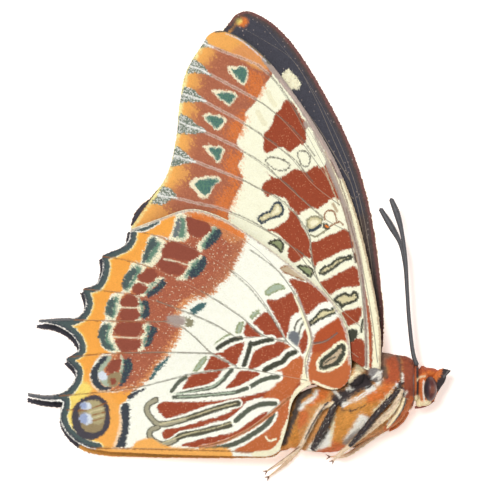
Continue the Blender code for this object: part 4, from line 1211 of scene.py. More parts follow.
        canvas.grade(self.costa, ((0.0, Tint.WARM_CREAM, 1.0), (1.6, Tint.MAUVE, 0.9),
                                  (2.8, Tint.CREAM, 0.4), (3.6, Tint.CREAM, 0.0)))
        canvas.grade(self.inner_edge, ((0.0, Tint.WARM_CREAM, 1.0), (2.6, Tint.WARM_CREAM, 0.95),
                                       (3.8, Tint.WARM_RUST, 0.0)))
        canvas.shade(0.02, 9.0, 12)


@dataclass(frozen=True)
class ForewingUpper:
    """The forewing's upper side: nearly black, with a brown base, a maroon rim and pale spots."""

    ground: Tint = Tint.UPPER_BLACK

    def lying(self, outline: Points) -> Points:
        """Moves an outline from where the left wing shows it to where the right wing has it."""
        return tuple(map(tuple, pixels_of(LEFT_FOREWING.undo(plan(outline)))))

    def paint(self, canvas: Canvas) -> None:
        """Paints a brown base, a row of pale spots near the margin and the rim along the costa.

        Args:
            canvas: The points to paint.
        """
        canvas.fill(((350, 400), (300, 330), (320, 250), (365, 215), (400, 260), (400, 400)),
                    Tint.UPPER_BROWN, 6.0)
        for outline in (((284, 73), (288, 69), (292, 71), (296, 77), (301, 84), (298, 88), (292, 90),
                         (287, 85), (283, 79)),
                        ((256, 118), (266, 110), (280, 118), (276, 130), (262, 128)),
                        ((232, 150), (246, 146), (258, 156), (250, 166), (236, 162))):
            canvas.fill(self.lying(outline), Tint.WARM_CREAM, 0.9, ragged=2.0)
        canvas.fill(self.lying(((231, 20), (236, 15), (243, 15), (248, 20), (244, 26), (236, 24))),
                    Tint.DEEP_ORANGE, 2.4, 0.9)
        canvas.fill(self.lying(((233, 20), (238, 17), (242, 20), (238, 24))), Tint.YELLOW, 2.4, 0.9)
        canvas.grade(LEFT_FOREWING_RUNS[1],
                     ((0.0, Tint.EDGE_DARK, 1.0), (4.0, Tint.EDGE_DARK, 1.0),
                      (6.0, Tint.ORANGE, 0.6), (9.0, Tint.UPPER_BLACK, 0.0)))
        canvas.grade(FOREWING_RUNS[0], ((0.0, Tint.UPPER_RIM, 1.0), (2.2, Tint.UPPER_RIM, 0.9),
                                        (3.6, Tint.UPPER_BROWN, 0.9), (9.0, Tint.UPPER_BLACK, 0.0)))
        canvas.flecks(((380, 371), (380, 260), (300, 100), (220, 30), (180, 100), (131, 228)), 0.015,
                      Tint.MAUVE, 0.6)
        canvas.shade(0.06, 8.0, 13)


@dataclass(frozen=True)
class HindwingUpper:
    """The hindwing's upper side: nearly black beyond a cream band, pale brown at the inner edge."""

    ground: Tint = Tint.UPPER_BLACK
    bands: tuple[tuple[float, Tint, float], ...] = (
        (0.0, Tint.EDGE_DARK, 1.0), (6.0, Tint.DARK_SLATE, 1.0), (8.0, Tint.ORANGE, 0.8),
        (14.0, Tint.ORANGE, 0.7), (18.0, Tint.UPPER_BLACK, 0.0),
    )

    def paint(self, canvas: Canvas) -> None:
        """Paints the cream band, the margin's rows and the inner edge.

        Args:
            canvas: The points to paint.
        """
        canvas.fill(((190, 240), (230, 232), (262, 270), (250, 330), (212, 372), (196, 330)),
                    Tint.CREAM, 3.0)
        canvas.fill(((290, 330), (350, 330), (352, 390), (300, 440), (270, 460), (180, 460),
                     (235, 420)), Tint.UPPER_BROWN, 6.0)
        canvas.grade(HindwingUnderside().margin, self.bands)
        canvas.grade(((84, 446), (110, 451.5), (170, 454), (240, 455.5), (275, 454)),
                     ((0.0, Tint.APRICOT, 1.0), (6.0, Tint.APRICOT, 1.0), (8.0, Tint.TAN, 0.0)))
        canvas.shade(0.06, 8.0, 14)


Pattern = ForewingUnderside | HindwingUnderside | ForewingUpper | HindwingUpper


def left_handed(loop: Array) -> Array:
    """Gives a loop in the order in which its inside lies on the left.

    Args:
        loop: The loop's corners, each once.

    Returns:
        The loop, or its reverse.
    """
    following = np.roll(loop, -1, axis=0)
    area = (loop[:, 0] * following[:, 1] - following[:, 0] * loop[:, 1]).sum()
    return loop if area > 0 else loop[::-1]


def closed_outline(runs: tuple[Points, ...], step: float) -> Array:
    """Joins smooth runs of pixels to one loop in millimetres, without repeated corners.

    Args:
        runs: Runs of pixels that meet end to start.
        step: The wanted distance between samples, in millimetres.

    Returns:
        The loop's corners, each once.
    """
    rows = np.vstack([smooth_run(plan(run), step) for run in runs])
    gaps = np.linalg.norm(rows - np.roll(rows, 1, axis=0), axis=1)
    return left_handed(rows[gaps > 0.3 * step])


@dataclass(frozen=True)
class Turn:
    """How a left wing lies turned and stretched from the right one, about a pixel."""

    pivot: tuple[float, float] = HINGE_PIXEL
    degrees: float = 0.0
    stretch: float = 1.0

    @property
    def matrix(self) -> Array:
        """The turn and stretch as a matrix for columns.

        Returns:
            Two rows and two columns.
        """
        angle = math.radians(self.degrees)
        rows = ((math.cos(angle), -math.sin(angle)), (math.sin(angle), math.cos(angle)))
        return np.array(rows) * self.stretch

    def apply(self, flat: Array) -> Array:
        """Moves points in millimetres from the right wing's place to this wing's."""
        pivot = plan((self.pivot,))[0]
        return (flat - pivot) @ self.matrix.T + pivot

    def undo(self, flat: Array) -> Array:
        """Moves points in millimetres from this wing's place back to the right wing's."""
        pivot = plan((self.pivot,))[0]
        return (flat - pivot) @ np.linalg.inv(self.matrix).T + pivot


LEFT_FOREWING = Turn((378.0, 372.0), -5.0, 1.02)
LEFT_HINDWING = Turn((370.0, 375.0), 1.0, 1.004)


class Terrain:
    """Heights on an even grid over a box, read between its points bilinearly."""

    def __init__(self, loop: Array, height: Callable[[Array], Array], step: float = 0.3) -> None:
        """Samples the height function over the loop's box and a little round it.

        Args:
            loop: The outline whose box is sampled.
            height: Gives the height at points.
            step: The grid's spacing, in millimetres.
        """
        self.step = step
        self.low = loop.min(axis=0) - 1.5
        count = np.ceil((loop.max(axis=0) + 1.5 - self.low) / step).astype(int) + 1
        across, down = np.meshgrid(np.arange(count[0]), np.arange(count[1]), indexing="ij")
        flat = np.column_stack((across.ravel(), down.ravel())) * step + self.low
        self.heights = height(flat).reshape(count)

    def read(self, flat: Array) -> Array:
        """The height at each point: the four grid heights round it, weighed by nearness.

        Args:
            flat: x and y in millimetres.

        Returns:
            One height for each point.
        """
        place = (flat - self.low) / self.step
        place = np.clip(place, 0.0, np.array(self.heights.shape) - 1.001)
        corner = place.astype(int)
        u, v = (place - corner).T
        i, j = corner.T
        grid = self.heights
        return ((grid[i, j] * (1 - u) + grid[i + 1, j] * u) * (1 - v)
                + (grid[i, j + 1] * (1 - u) + grid[i + 1, j + 1] * u) * v)


def in_chunks(function: Callable[[Array], Array], points: Array) -> Array:
    """Runs a function over points in parts, so that its tables stay small."""
    parts = np.array_split(points, max(1, len(points) // 8000))
    return np.concatenate([function(part) for part in parts])


def hindwing_cover(points: Array, loops: tuple[Array, ...]) -> Array:
    """One over the hindwings, eased to zero with distance beyond their edges.

    Args:
        points: x and y in millimetres.
        loops: The hindwings' outlines.

    Returns:
        One share for each point.
    """
    outside = np.full(len(points), np.inf)
    for loop in loops:
        outside = np.minimum(outside, np.maximum(-loop_depth(points, loop), 0.0))
    from_hinge = np.linalg.norm(points - plan((HINGE_PIXEL,)), axis=1)
    width = np.clip(SINK_GROWTH * from_hinge, SINK_NEAR, SINK_FAR)
    return smoothstep(1.0 - outside / width)


def body_lift(points: Array, with_abdomen: bool) -> Array:
    """How far the upper wings rise over the body.

    The lift over the thorax is the square of one less the distance from the hinge over its reach.
    The lift over the abdomen is the greatest of round bumps along its core. The two are blended
    as half of their sum and of the root of their squared difference.

    Args:
        points: x and y in millimetres.
        with_abdomen: Whether the sheet also lies over the abdomen.

    Returns:
        The height added at each point.
    """
    from_hinge = np.linalg.norm(points - plan((HINGE_PIXEL,)), axis=1)
    lift = HINGE_LIFT * np.clip(1.0 - from_hinge / HINGE_REACH, 0.0, 1.0) ** 2
    if not with_abdomen:
        return lift
    core = smooth_run(np.column_stack((plan(ABDOMEN_LIFTS), np.array(ABDOMEN_LIFTS)[:, 2])), 1.0)
    reach = np.linalg.norm(points[:, None] - core[None, :, :2], axis=2) / ABDOMEN_REACH
    bump = (core[:, 2] * np.clip(1.0 - reach**2, 0.0, 1.0) ** 2).max(axis=1)
    return 0.5 * (lift + bump + np.sqrt((lift - bump) ** 2 + LIFT_BLEND**2))


@dataclass(frozen=True)
class Finish:
    """A procedural finish that takes its main colour from the mesh.

    Attributes:
        name: The material's name.
        roughness: The shader's roughness.
        sheen: The strength of the soft edge light of hair and scales.
        specular: The shader's specular level.
        grain: The size of the colour's grain, in millimetres.
        variation: How much the grain darkens, from 0 to 1.
        bump: The depth of the finest relief, in millimetres.
        facets: Whether the relief is a net of facets, as on an eye, and not noise.
        coat: The strength of a clear gloss over all.
    """

    name: str
    roughness: float
    sheen: float = 0.0
    specular: float = 0.3
    grain: float = 0.06
    variation: float = 0.12
    bump: float = 0.01
    facets: bool = False
    coat: float = 0.0

    def build(self) -> bpy.types.Material:
        """Makes the material: the mesh's tint times a fine noise, with relief of the same grain.

        Returns:
            The new material.
        """
        material = bpy.data.materials.new(self.name)
        material.use_nodes = True
        nodes, links = material.node_tree.nodes, material.node_tree.links
        shader = nodes["Principled BSDF"]
        shader.inputs["Roughness"].default_value = self.roughness
        shader.inputs["Specular IOR Level"].default_value = self.specular
        shader.inputs["Sheen Weight"].default_value = self.sheen
        shader.inputs["Sheen Roughness"].default_value = 0.5
        shader.inputs["Coat Weight"].default_value = self.coat
        tint = nodes.new("ShaderNodeVertexColor")
        tint.layer_name = "Tint"
        place = nodes.new("ShaderNodeTexCoord")
        noise = nodes.new("ShaderNodeTexNoise")
        noise.inputs["Scale"].default_value = 1.0 / (self.grain * MILLIMETRE)
        noise.inputs["Detail"].default_value = 3.0
        links.new(place.outputs["Object"], noise.inputs["Vector"])
        spread = nodes.new("ShaderNodeMapRange")
        spread.inputs["From Min"].default_value = 0.3
        spread.inputs["From Max"].default_value = 0.7
        spread.inputs["To Min"].default_value = 1.0 - self.variation
        spread.inputs["To Max"].default_value = 1.0 + 0.4 * self.variation
        links.new(noise.outputs["Fac"], spread.inputs["Value"])
        shaded = nodes.new("ShaderNodeVectorMath")
        shaded.operation = "SCALE"
        links.new(tint.outputs["Color"], shaded.inputs[0])
        links.new(spread.outputs["Result"], shaded.inputs["Scale"])
        links.new(shaded.outputs["Vector"], shader.inputs["Base Color"])
        relief = noise.outputs["Fac"]
        if self.facets:
            net = nodes.new("ShaderNodeTexVoronoi")
            net.inputs["Scale"].default_value = 1.0 / (self.grain * MILLIMETRE)
            net.inputs["Randomness"].default_value = 0.35
            links.new(place.outputs["Object"], net.inputs["Vector"])
            relief = net.outputs["Distance"]
        bump = nodes.new("ShaderNodeBump")
        bump.inputs["Strength"].default_value = 0.6
        bump.inputs["Distance"].default_value = self.bump * MILLIMETRE
        bump.invert = self.facets
        links.new(relief, bump.inputs["Height"])
        links.new(bump.outputs["Normal"], shader.inputs["Normal"])
        return material


SCALE_FINISH = Finish("wing_scales", 0.7, sheen=0.02, specular=0.12, grain=0.05, bump=0.006)
SKIN_FINISH = Finish("wing_skin", 0.75, sheen=0.02, specular=0.12, grain=0.09, bump=0.01)
VEIN_FINISH = Finish("wing_veins", 0.5, specular=0.35, grain=0.12, bump=0.008)
HAIR_FINISH = Finish("body_hair", 0.6, sheen=0.08, specular=0.18, grain=0.2, bump=0.004)
BODY_FINISH = Finish("body_skin", 0.75, sheen=0.1, grain=0.12, variation=0.3, bump=0.05)
LEG_FINISH = Finish("leg_scales", 0.5, sheen=0.05, specular=0.35, grain=0.07, variation=0.2,
                    bump=0.015)
CLAW_FINISH = Finish("claw_horn", 0.28, specular=0.5, grain=0.15, bump=0.004)
EYE_FINISH = Finish("eye_facets", 0.42, specular=0.3, grain=0.035, variation=0.25, bump=0.008,
                    facets=True, coat=0.12)
FEELER_FINISH = Finish("feeler_scales", 0.48, specular=0.35, grain=0.08, variation=0.35,
                       bump=0.012)


@dataclass
class Piece:
    """One new mesh, gathered in millimetres.

    Attributes:
        name: The object's name.
        slot: A material slot's name, which is not used.
        finish: Its finish.
        vertices: Arrays of x, y and z.
        colours: Arrays of linear colours, one row for each vertex.
        patches: Arrays of places on the unwrap, one row for each vertex.
        faces: Arrays of vertex numbers, one row for each face.
        smooth: Whether its faces are shaded smooth.
        count: The number of its vertices so far.
    """

    name: str
    slot: str
    finish: Finish
    smooth: bool = True
    vertices: list[Array] = field(default_factory=list)
    colours: list[Array] = field(default_factory=list)
    patches: list[Array] = field(default_factory=list)
    faces: list[Array] = field(default_factory=list)
    count: int = 0

    def add(self, vertices: Array, faces: list[Array], colours: Array, patches: Array) -> None:
        """Adds a closed shape.

        Args:
            vertices: x, y and z of its vertices.
            faces: Tables of vertex numbers, one for each number of corners.
            colours: One colour for each vertex.
            patches: One place on the unwrap for each vertex.
        """
        self.vertices.append(vertices)
        self.colours.append(colours)
        self.patches.append(patches)
        self.faces.extend(table + self.count for table in faces if len(table))
        self.count += len(vertices)

    def build(self, replaced: tuple[str, ...] = ()) -> bpy.types.Object:
        """Writes the mesh in metres, dresses it and hands it to the frame.

        Args:
            replaced: The CAD nodes that it stands for.

        Returns:
            The new object, at the origin.
        """
        vertices = np.vstack(self.vertices) * MILLIMETRE
        loops = np.concatenate([table.ravel() for table in self.faces])
        sizes = np.concatenate([np.full(len(table), table.shape[1]) for table in self.faces])
        starts = np.concatenate(([0], np.cumsum(sizes)[:-1]))
        mesh = bpy.data.meshes.new(self.name)
        mesh.vertices.add(len(vertices))
        mesh.vertices.foreach_set("co", vertices.astype(np.float32).ravel())
        mesh.loops.add(len(loops))
        mesh.loops.foreach_set("vertex_index", loops.astype(np.int32))
        mesh.polygons.add(len(sizes))
        mesh.polygons.foreach_set("loop_start", starts.astype(np.int32))
        mesh.polygons.foreach_set("use_smooth", np.full(len(sizes), self.smooth))
        mesh.update(calc_edges=True)
        tint = mesh.attributes.new("Tint", "FLOAT_COLOR", "POINT")
        rows = np.vstack(self.colours)
        rows = np.column_stack((np.clip(rows, 0.0, 1.0), np.ones(len(rows))))
        tint.data.foreach_set("color", rows.astype(np.float32).ravel())
        unwrap = mesh.uv_layers.new(name="OFBake")
        unwrap.data.foreach_set("uv", np.vstack(self.patches)[loops].astype(np.float32).ravel())
        mesh.validate()
        mesh.materials.append(material_for(self.finish))
        item = bpy.data.objects.new(self.name, mesh)
        bpy.context.scene.collection.objects.link(item)
        if replaced:
            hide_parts(*replaced)
        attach(item, "root")
        triangles = int((sizes - 2).sum())
        LOG.info("%s: %d vertices, %d triangles", self.name, len(vertices), triangles)
        return item


def material_for(finish: Finish) -> bpy.types.Material:
    """Gives a finish's material, made on its first use."""
    return bpy.data.materials.get(finish.name) or finish.build()


# A scale's six points: along its length, across its half width, and above its root's level.
SCALE_FORM = np.array((
    (0.00, 0.60, 0.0), (0.00, -0.60, 0.0), (0.74, -1.00, 0.8), (1.00, 0.00, 1.0),
    (0.74, 1.00, 0.8), (0.45, 0.00, -0.7),
))
SCALE_TOP = np.array(((0, 1, 2, 3, 4),))
SCALE_SIDES = np.array(((1, 0, 5), (2, 1, 5), (3, 2, 5), (4, 3, 5), (0, 4, 5)))
# Painted shade and highlight for the six points: each scale is painted darker at its root and at the
# point sunk under it, and lighter at its raised shoulders and tip.
SCALE_PAINTED_SHADING = np.array((0.88, 0.88, 1.02, 1.05, 1.02, 0.85))
PATCH = 0.003
SKIN_HALF = 0.08
SCALE_BASE = 0.014
SCALES_A_PIECE = 24000
VEIN_SIDES = 8


@dataclass(frozen=True)
class Scales:
    """Roots of scales on one face of a wing, in the right wing's place.

    Attributes:
        roots: x and y.
        along: Unit directions in which the scales point.
        length: Their lengths.
        width: Their half widths.
        lift: How far their tips rise over their roots.
    """

    roots: Array
    along: Array
    length: Array
    width: Array
    lift: Array

    def only(self, keep: Array) -> Scales:
        """The scales that a mask keeps."""
        return Scales(self.roots[keep], self.along[keep], self.length[keep], self.width[keep],
                      self.lift[keep])


def polar(flat: Array) -> tuple[Array, Array]:
    """Distance from the hinge, and the angle from the direction straight back along the body."""
    offset = plan((HINGE_PIXEL,))[0] - flat
    return np.hypot(*offset.T), np.arctan2(offset[:, 1], offset[:, 0])


def rows_of_scales(loop: Array, pitch: float, seed: int) -> Scales:
    """Spreads scales in staggered rows, which are arcs about the hinge, and points them outwards.

    A row's radius is its number times the pitch, and a scale's angle is its number in the row
    times the pitch over the radius. Both get a little jitter. A scale whose tip would stand past
    the outline shrinks.

    Args:
        loop: The wing's outline.
        pitch: The spacing of the rows and of the scales in a row.
        seed: Chooses the jitter.

    Returns:
        The scales whose roots lie inside the outline.
    """
    rng = np.random.default_rng(seed)
    radius, angle = polar(loop)
    radii = np.arange(max(radius.min(), 0.5), radius.max(), 0.92 * pitch)
    start = angle.min()
    counts = ((angle.max() - start) * radii / pitch).astype(int) + 1
    row = np.repeat(np.arange(len(radii)), counts)
    number = np.arange(len(row)) - np.repeat(np.cumsum(counts) - counts, counts)
    far = radii[row] + rng.uniform(-0.28, 0.28, len(row)) * pitch
    turn = start + (number + 0.5 * (row % 2) + rng.uniform(-0.24, 0.24, len(row))) * pitch / radii[row]
    roots = plan((HINGE_PIXEL,))[0] - far[:, None] * np.column_stack((np.cos(turn), np.sin(turn)))
    roots = roots[in_chunks(lambda part: is_inside(part, loop), roots)]
    _, turn = polar(roots)
    turn = turn + rng.normal(0.0, 0.10, len(roots))
    along = -np.column_stack((np.cos(turn), np.sin(turn)))
    size = rng.uniform(0.85, 1.15, len(roots)) * pitch
    inside = in_chunks(lambda part: loop_depth(part, loop), roots + along * 1.75 * size[:, None])
    size = size * np.clip(1.0 + (inside - 0.02) / (1.4 * size), 0.25, 1.0)
    return Scales(roots, along, 1.75 * size, 0.58 * size,
                  rng.uniform(0.20, 0.34, len(roots)) * pitch)


def fringe(run: Array, pitch: float, seed: int) -> Scales:
    """Spreads long scales along a margin, pointing outwards and a little towards the tip.

    Args:
        run: The margin's points, x and y in millimetres.
        pitch: The spacing of the scales.
        seed: Chooses the jitter.

    Returns:
        The fringe's scales.
    """
    rng = np.random.default_rng(seed)
    line = even_run(run, max(2, int(np.linalg.norm(np.diff(run, axis=0), axis=1).sum() / pitch)))
    line = line + rng.normal(0.0, 0.2 * pitch, line.shape)
    _, turn = polar(line)
    radial = -np.column_stack((np.cos(turn), np.sin(turn)))
    tangent = np.gradient(line, axis=0)
    outward = np.column_stack((tangent[:, 1], -tangent[:, 0]))
    outward /= np.maximum(np.linalg.norm(outward, axis=1), 1e-9)[:, None]
    outward *= np.sign((outward * radial).sum(axis=1))[:, None]
    along = 0.6 * outward + 0.5 * radial + rng.normal(0.0, 0.12, line.shape)
    along /= np.linalg.norm(along, axis=1)[:, None]
    roots = line - along * 0.14
    count = len(line)
    return Scales(roots, along, rng.uniform(0.16, 0.27, count), np.full(count, 0.45 * pitch),
                  np.full(count, 0.0))


def planar_patches(flat: Array, loop: Array, start: float, share: float) -> Array:
    """Places points on the unwrap: along the hinge-to-tip axis and across it, scaled to a strip.

    Args:
        flat: x and y of the points.
        loop: The outline that fills the strip.
        start: The strip's left edge.
        share: The strip's width.

    Returns:
        One place for each point.
    """
    axis = plan(((203.0, 43.0),))[0] - plan((HINGE_PIXEL,))[0]
    axis /= np.linalg.norm(axis)
    frame = np.column_stack((axis, (-axis[1], axis[0])))
    low, high = (loop @ frame).min(axis=0), (loop @ frame).max(axis=0)
    place = (flat @ frame - low) / (high - low)
    return place * (share - 2 * PATCH, 1.0 - 2 * PATCH) + (start + PATCH, PATCH)


@dataclass(frozen=True)
class Face:
    """One face of a wing.

    Attributes:
        label: Its name in the names of pieces.
        side: 1 for the face that looks up and -1 for the one that looks down.
        pattern: What is painted on it.
        pitch: The spacing of its scales, or 0 where it has none.
        hides: Loops, in the wing's own place, inside which other wings hide it.
        hide_depth: How deep inside such a loop the scales end.
    """

    label: str
    side: int
    pattern: Pattern
    pitch: float = 0.0
    hides: tuple[Array, ...] = ()
    hide_depth: float = 1.6


@dataclass(frozen=True)
class Wing:
    """A wing: a thin skin, raised veins and overlapping scales.

    Attributes:
        name: Its CAD node's name.
        slot: A material slot's name, handed to its pieces.
        runs: Its outline on the right side of the insect.
        veins: Its veins there.
        turn: How it lies turned from there.
        level: The height of its middle over the floor, from x and y.
        faces: Its upward and downward faces.
        fringe_runs: Which runs of the outline carry a fringe.
        skin_step: The spacing of the skin's points, in millimetres.
        pleat: How far the membrane sinks between the veins, in millimetres.
        pleat_width: How far from a vein it has sunk by most of that, in millimetres.
    """

    name: str
    slot: str
    runs: tuple[Points, ...]
    veins: dict[str, Points]
    turn: Turn
    level: Callable[[Array], Array]
    faces: tuple[Face, Face]
    fringe_runs: tuple[int, ...]
    skin_step: float = 0.42
    pleat: float = 0.10
    pleat_width: float = 1.1

    def vein_lines(self, step: float) -> dict[str, Array]:
        """The veins in millimetres, in the right wing's place."""
        return {name: smooth_run(plan(path), step) for name, path in self.veins.items()}

    def height(self, flat: Array) -> Array:
        """The middle level, with the membrane sunk a little between the veins.

        The sinking is one less a bell curve of the distance to the nearest vein, and a slow wave
        is added to it.

        Args:
            flat: x and y in millimetres, in the wing's own place.

        Returns:
            One height for each point.
        """
        home = self.turn.undo(flat)
        distance = np.min([line_distance(home, line) for line in self.vein_lines(1.0).values()],
                          axis=0)
        sunk = self.pleat * (1.0 - np.exp(-((distance / self.pleat_width) ** 2)))
        return self.level(flat) - sunk + 0.5 * self.pleat * (1.0 + waves(home, 7.0, 5))

    def build(self) -> None:
        """Builds the skin, the veins, and the scales and fringe of each face that has a pitch."""
        loop = closed_outline(self.runs, self.skin_step)
        placed = self.turn.apply(loop)
        terrain = Terrain(placed, lambda flat: in_chunks(self.height, flat))
        self.build_skin(loop, terrain)
        self.build_veins(loop, terrain)
        for face in self.faces:
            if face.pitch:
                self.build_scales(face, loop, terrain)

    def build_skin(self, loop: Array, terrain: Terrain) -> None:
        """Builds the membrane: one triangulated plan as two faces, and a wall round its edge.

        Args:
            loop: The outline in the right wing's place.
            terrain: The wing's heights.
        """
        rows = np.arange(loop[:, 1].min(), loop[:, 1].max(), self.skin_step * math.sqrt(3.0) / 2.0)
        steps = np.arange(loop[:, 0].min(), loop[:, 0].max(), self.skin_step)
        x, y = np.meshgrid(steps, rows)
        x = x + self.skin_step / 2.0 * (np.arange(len(rows)) % 2)[:, None]
        fill = np.column_stack((x.ravel(), y.ravel()))
        fill = fill[in_chunks(lambda part: loop_depth(part, loop), fill) > 0.5 * self.skin_step]
        points = [Vector(point) for point in np.vstack((loop, fill))]
        edges = [(i, (i + 1) % len(loop)) for i in range(len(loop))]
        found = delaunay_2d_cdt(points, edges, [], 1, 0.02)
        home = np.array([tuple(point) for point in found[0]])
        triangles = np.array(found[2])
        flat = self.turn.apply(home)
        level = terrain.read(flat)
        count = len(home)
        sides = np.vstack((triangles[:, (0, 1)], triangles[:, (1, 2)], triangles[:, (2, 0)]))
        keys = sides[:, 0] * count + sides[:, 1]
        rim = sides[~np.isin(keys, sides[:, 1] * count + sides[:, 0])]
        wall = np.column_stack((rim[:, 1], rim[:, 0], rim[:, 0] + count, rim[:, 1] + count))
        piece = Piece(f"{self.name}_skin", self.slot, SKIN_FINISH)
        colours = [self.tints(face, home) for face in self.faces]
        vertices = np.vstack((np.column_stack((flat, level + SKIN_HALF)),
                              np.column_stack((flat, level - SKIN_HALF))))
        patches = np.vstack((planar_patches(home, loop, 0.0, 0.5),
                             planar_patches(home, loop, 0.5, 0.5)))
        piece.add(vertices, [np.vstack((triangles, triangles[:, ::-1] + count)), wall],
                  np.vstack(colours) * 0.93, patches)
        piece.build((self.name,))

    def tints(self, face: Face, home: Array) -> Array:
        """Paints a face's pattern at points in the right wing's place.

        Args:
            face: The face.
            home: x and y in millimetres, in the right wing's place.

        Returns:
            One linear colour for each point.
        """
        canvas = Canvas(pixels_of(home), face.pattern.ground, 7)
        face.pattern.paint(canvas)
        return canvas.colours

    def build_veins(self, loop: Array, terrain: Terrain) -> None:
        """Builds each vein as a tapering tube that stands out of both faces of the membrane.

        A ring of the tube is an ellipse: the cosine of its angle goes across the vein and the sine
        goes up. The radius falls evenly from the base to the tip.

        Args:
            loop: The outline in the right wing's place.
            terrain: The wing's heights.
        """
        piece = Piece(f"{self.name}_veins", self.slot, VEIN_FINISH)
        angles = np.arange(VEIN_SIDES) * math.tau / VEIN_SIDES
        for line in self.vein_lines(0.3).values():
            depth = loop_depth(line, loop)
            line = line[depth > 0.12]
            if len(line) < 4:
                continue
            share = np.linspace(0.0, 1.0, len(line))
            wide = 0.10 - 0.06 * share
            high = SKIN_HALF + 0.09 - 0.045 * share
            tangent = np.gradient(line, axis=0)
            tangent /= np.linalg.norm(tangent, axis=1)[:, None]
            side = np.column_stack((-tangent[:, 1], tangent[:, 0]))
            ring = line[:, None] + side[:, None] * (wide[:, None] * np.cos(angles))[..., None]
            rise = high[:, None] * np.sin(angles)
            home = ring.reshape(-1, 2)
            flat = self.turn.apply(home)
            base = terrain.read(self.turn.apply(line))
            level = (base[:, None] + rise).ravel()
            up = np.sin(np.tile(angles, len(line))) > -0.1
            colours = np.where(up[:, None], self.vein_tints(self.faces[0], home),
                               self.vein_tints(self.faces[1], home))
            faces = tube_faces(len(line), VEIN_SIDES)
            piece.add(np.column_stack((flat, level)), faces, colours,
                      planar_patches(home, loop, 0.0, 1.0))
        piece.build((self.name,))

    def vein_tints(self, face: Face, home: Array) -> Array:
        """Colours of the veins: greyer than light ground, and paler than dark ground.

        Args:
            face: The face.
            home: x and y in millimetres, in the right wing's place.

        Returns:
            One linear colour for each point.
        """
        ground = self.tints(face, home)
        light = ground.mean(axis=1) > 0.45
        grey, pale = Tint.LINE_GREY.linear, Tint.TAN.linear
        return np.where(light[:, None], 0.4 * ground + 0.6 * grey, 0.7 * ground + 0.3 * pale)

    def build_scales(self, face: Face, loop: Array, terrain: Terrain) -> None:
        """Builds a face's scales and its fringe, in pieces of limited size.

        Args:
            face: The face.
            loop: The outline in the right wing's place.
            terrain: The wing's heights.
        """
        groups = [rows_of_scales(loop, face.pitch, 21 + face.side)]
        for index in self.fringe_runs:
            groups.append(fringe(smooth_run(plan(self.runs[index]), 0.2), 0.8 * face.pitch,
                                 31 + index))
        scales = Scales(*(np.concatenate([getattr(group, name) for group in groups])
                          for name in ("roots", "along", "length", "width", "lift")))
        placed = self.turn.apply(scales.roots)
        for hidden in face.hides:
            depth = in_chunks(lambda part, edge=hidden: loop_depth(part, edge), placed)
            keep = depth < face.hide_depth
            scales, placed = scales.only(keep), placed[keep]
        rng = np.random.default_rng(41 + face.side)
        colours = self.tints(face, scales.roots + scales.along * scales.length[:, None] * 0.5)
        colours = colours * rng.normal(1.0, 0.022, len(colours))[:, None]
        parts = np.array_split(np.arange(len(scales.roots)),
                               max(1, math.ceil(len(scales.roots) / SCALES_A_PIECE)))
        for number, part in enumerate(parts, 1):
            piece = Piece(f"{self.name}_{face.label}_scales_{number}", self.slot, SCALE_FINISH,
                          smooth=False)
            self.lay_scales(piece, face, scales.only(part), colours[part], loop, terrain)
            piece.build((self.name,))

    def lay_scales(self, piece: Piece, face: Face, scales: Scales, colours: Array, loop: Array,
                   terrain: Terrain) -> None:
        """Adds scales to a piece.

        A scale's point is its root, plus the form's first number times the length along it, plus
        the second times the half width across it. Its height is the terrain's there, plus half
        the skin, plus the third times the lift.

        Args:
            piece: The piece that takes them.
            face: The face.
            scales: The scales.
            colours: One colour for each scale.
            loop: The outline in the right wing's place.
            terrain: The wing's heights.
        """
        across = np.column_stack((-scales.along[:, 1], scales.along[:, 0]))
        home = (scales.roots[:, None]
                + scales.along[:, None] * (scales.length[:, None] * SCALE_FORM[:, 0])[..., None]
                + across[:, None] * (scales.width[:, None] * SCALE_FORM[:, 1])[..., None])
        flat = self.turn.apply(home.reshape(-1, 2))
        lift = (scales.lift[:, None] * SCALE_FORM[:, 2]).ravel()
        level = terrain.read(flat) + face.side * (SKIN_HALF + SCALE_BASE + lift)
        base = (np.arange(len(scales.roots)) * len(SCALE_FORM))[:, None]
        tops = base + SCALE_TOP
        sides = (base[:, None] + SCALE_SIDES).reshape(-1, 3)
        if face.side < 0:
            tops, sides = tops[:, ::-1], sides[:, ::-1]
        # Painted shade and highlight: every point of a scale takes the scale's colour times its
        # painted shading.
        painted_shading = (colours[:, None] * SCALE_PAINTED_SHADING[None, :, None]).reshape(-1, 3)
        patch = planar_patches(scales.roots, loop, 0.0, 1.0)[:, None]
        corner = (SCALE_FORM[:, :2] - (0.5, 0.0)) * (PATCH, PATCH / 2.0)
        piece.add(np.column_stack((flat, level)), [tops, sides], painted_shading,
                  (patch + corner).reshape(-1, 2))


def tube_faces(rings: int, sides: int) -> list[Array]:
    """Faces of a tube of rings, with a flat cap at each end, that look outwards.

    The rings run to the left seen from above as the tube goes on, so a face runs from a ring to
    the next one round and on to the next ring.

    Args:
        rings: The number of rings.
        sides: The number of points in each.

    Returns:
        The table of the wall's faces and the table of the two caps.
    """
    ring = np.arange(rings - 1)[:, None] * sides
    here = np.arange(sides)[None]
    there = (here + 1) % sides
    quads = np.stack((ring + here, ring + there, ring + sides + there, ring + sides + here),
                     axis=-1).reshape(-1, 4)
    caps = np.array((np.arange(sides)[::-1], (rings - 1) * sides + np.arange(sides)))
    return [quads, caps]


Shape = Callable[[Array, Array], Array]

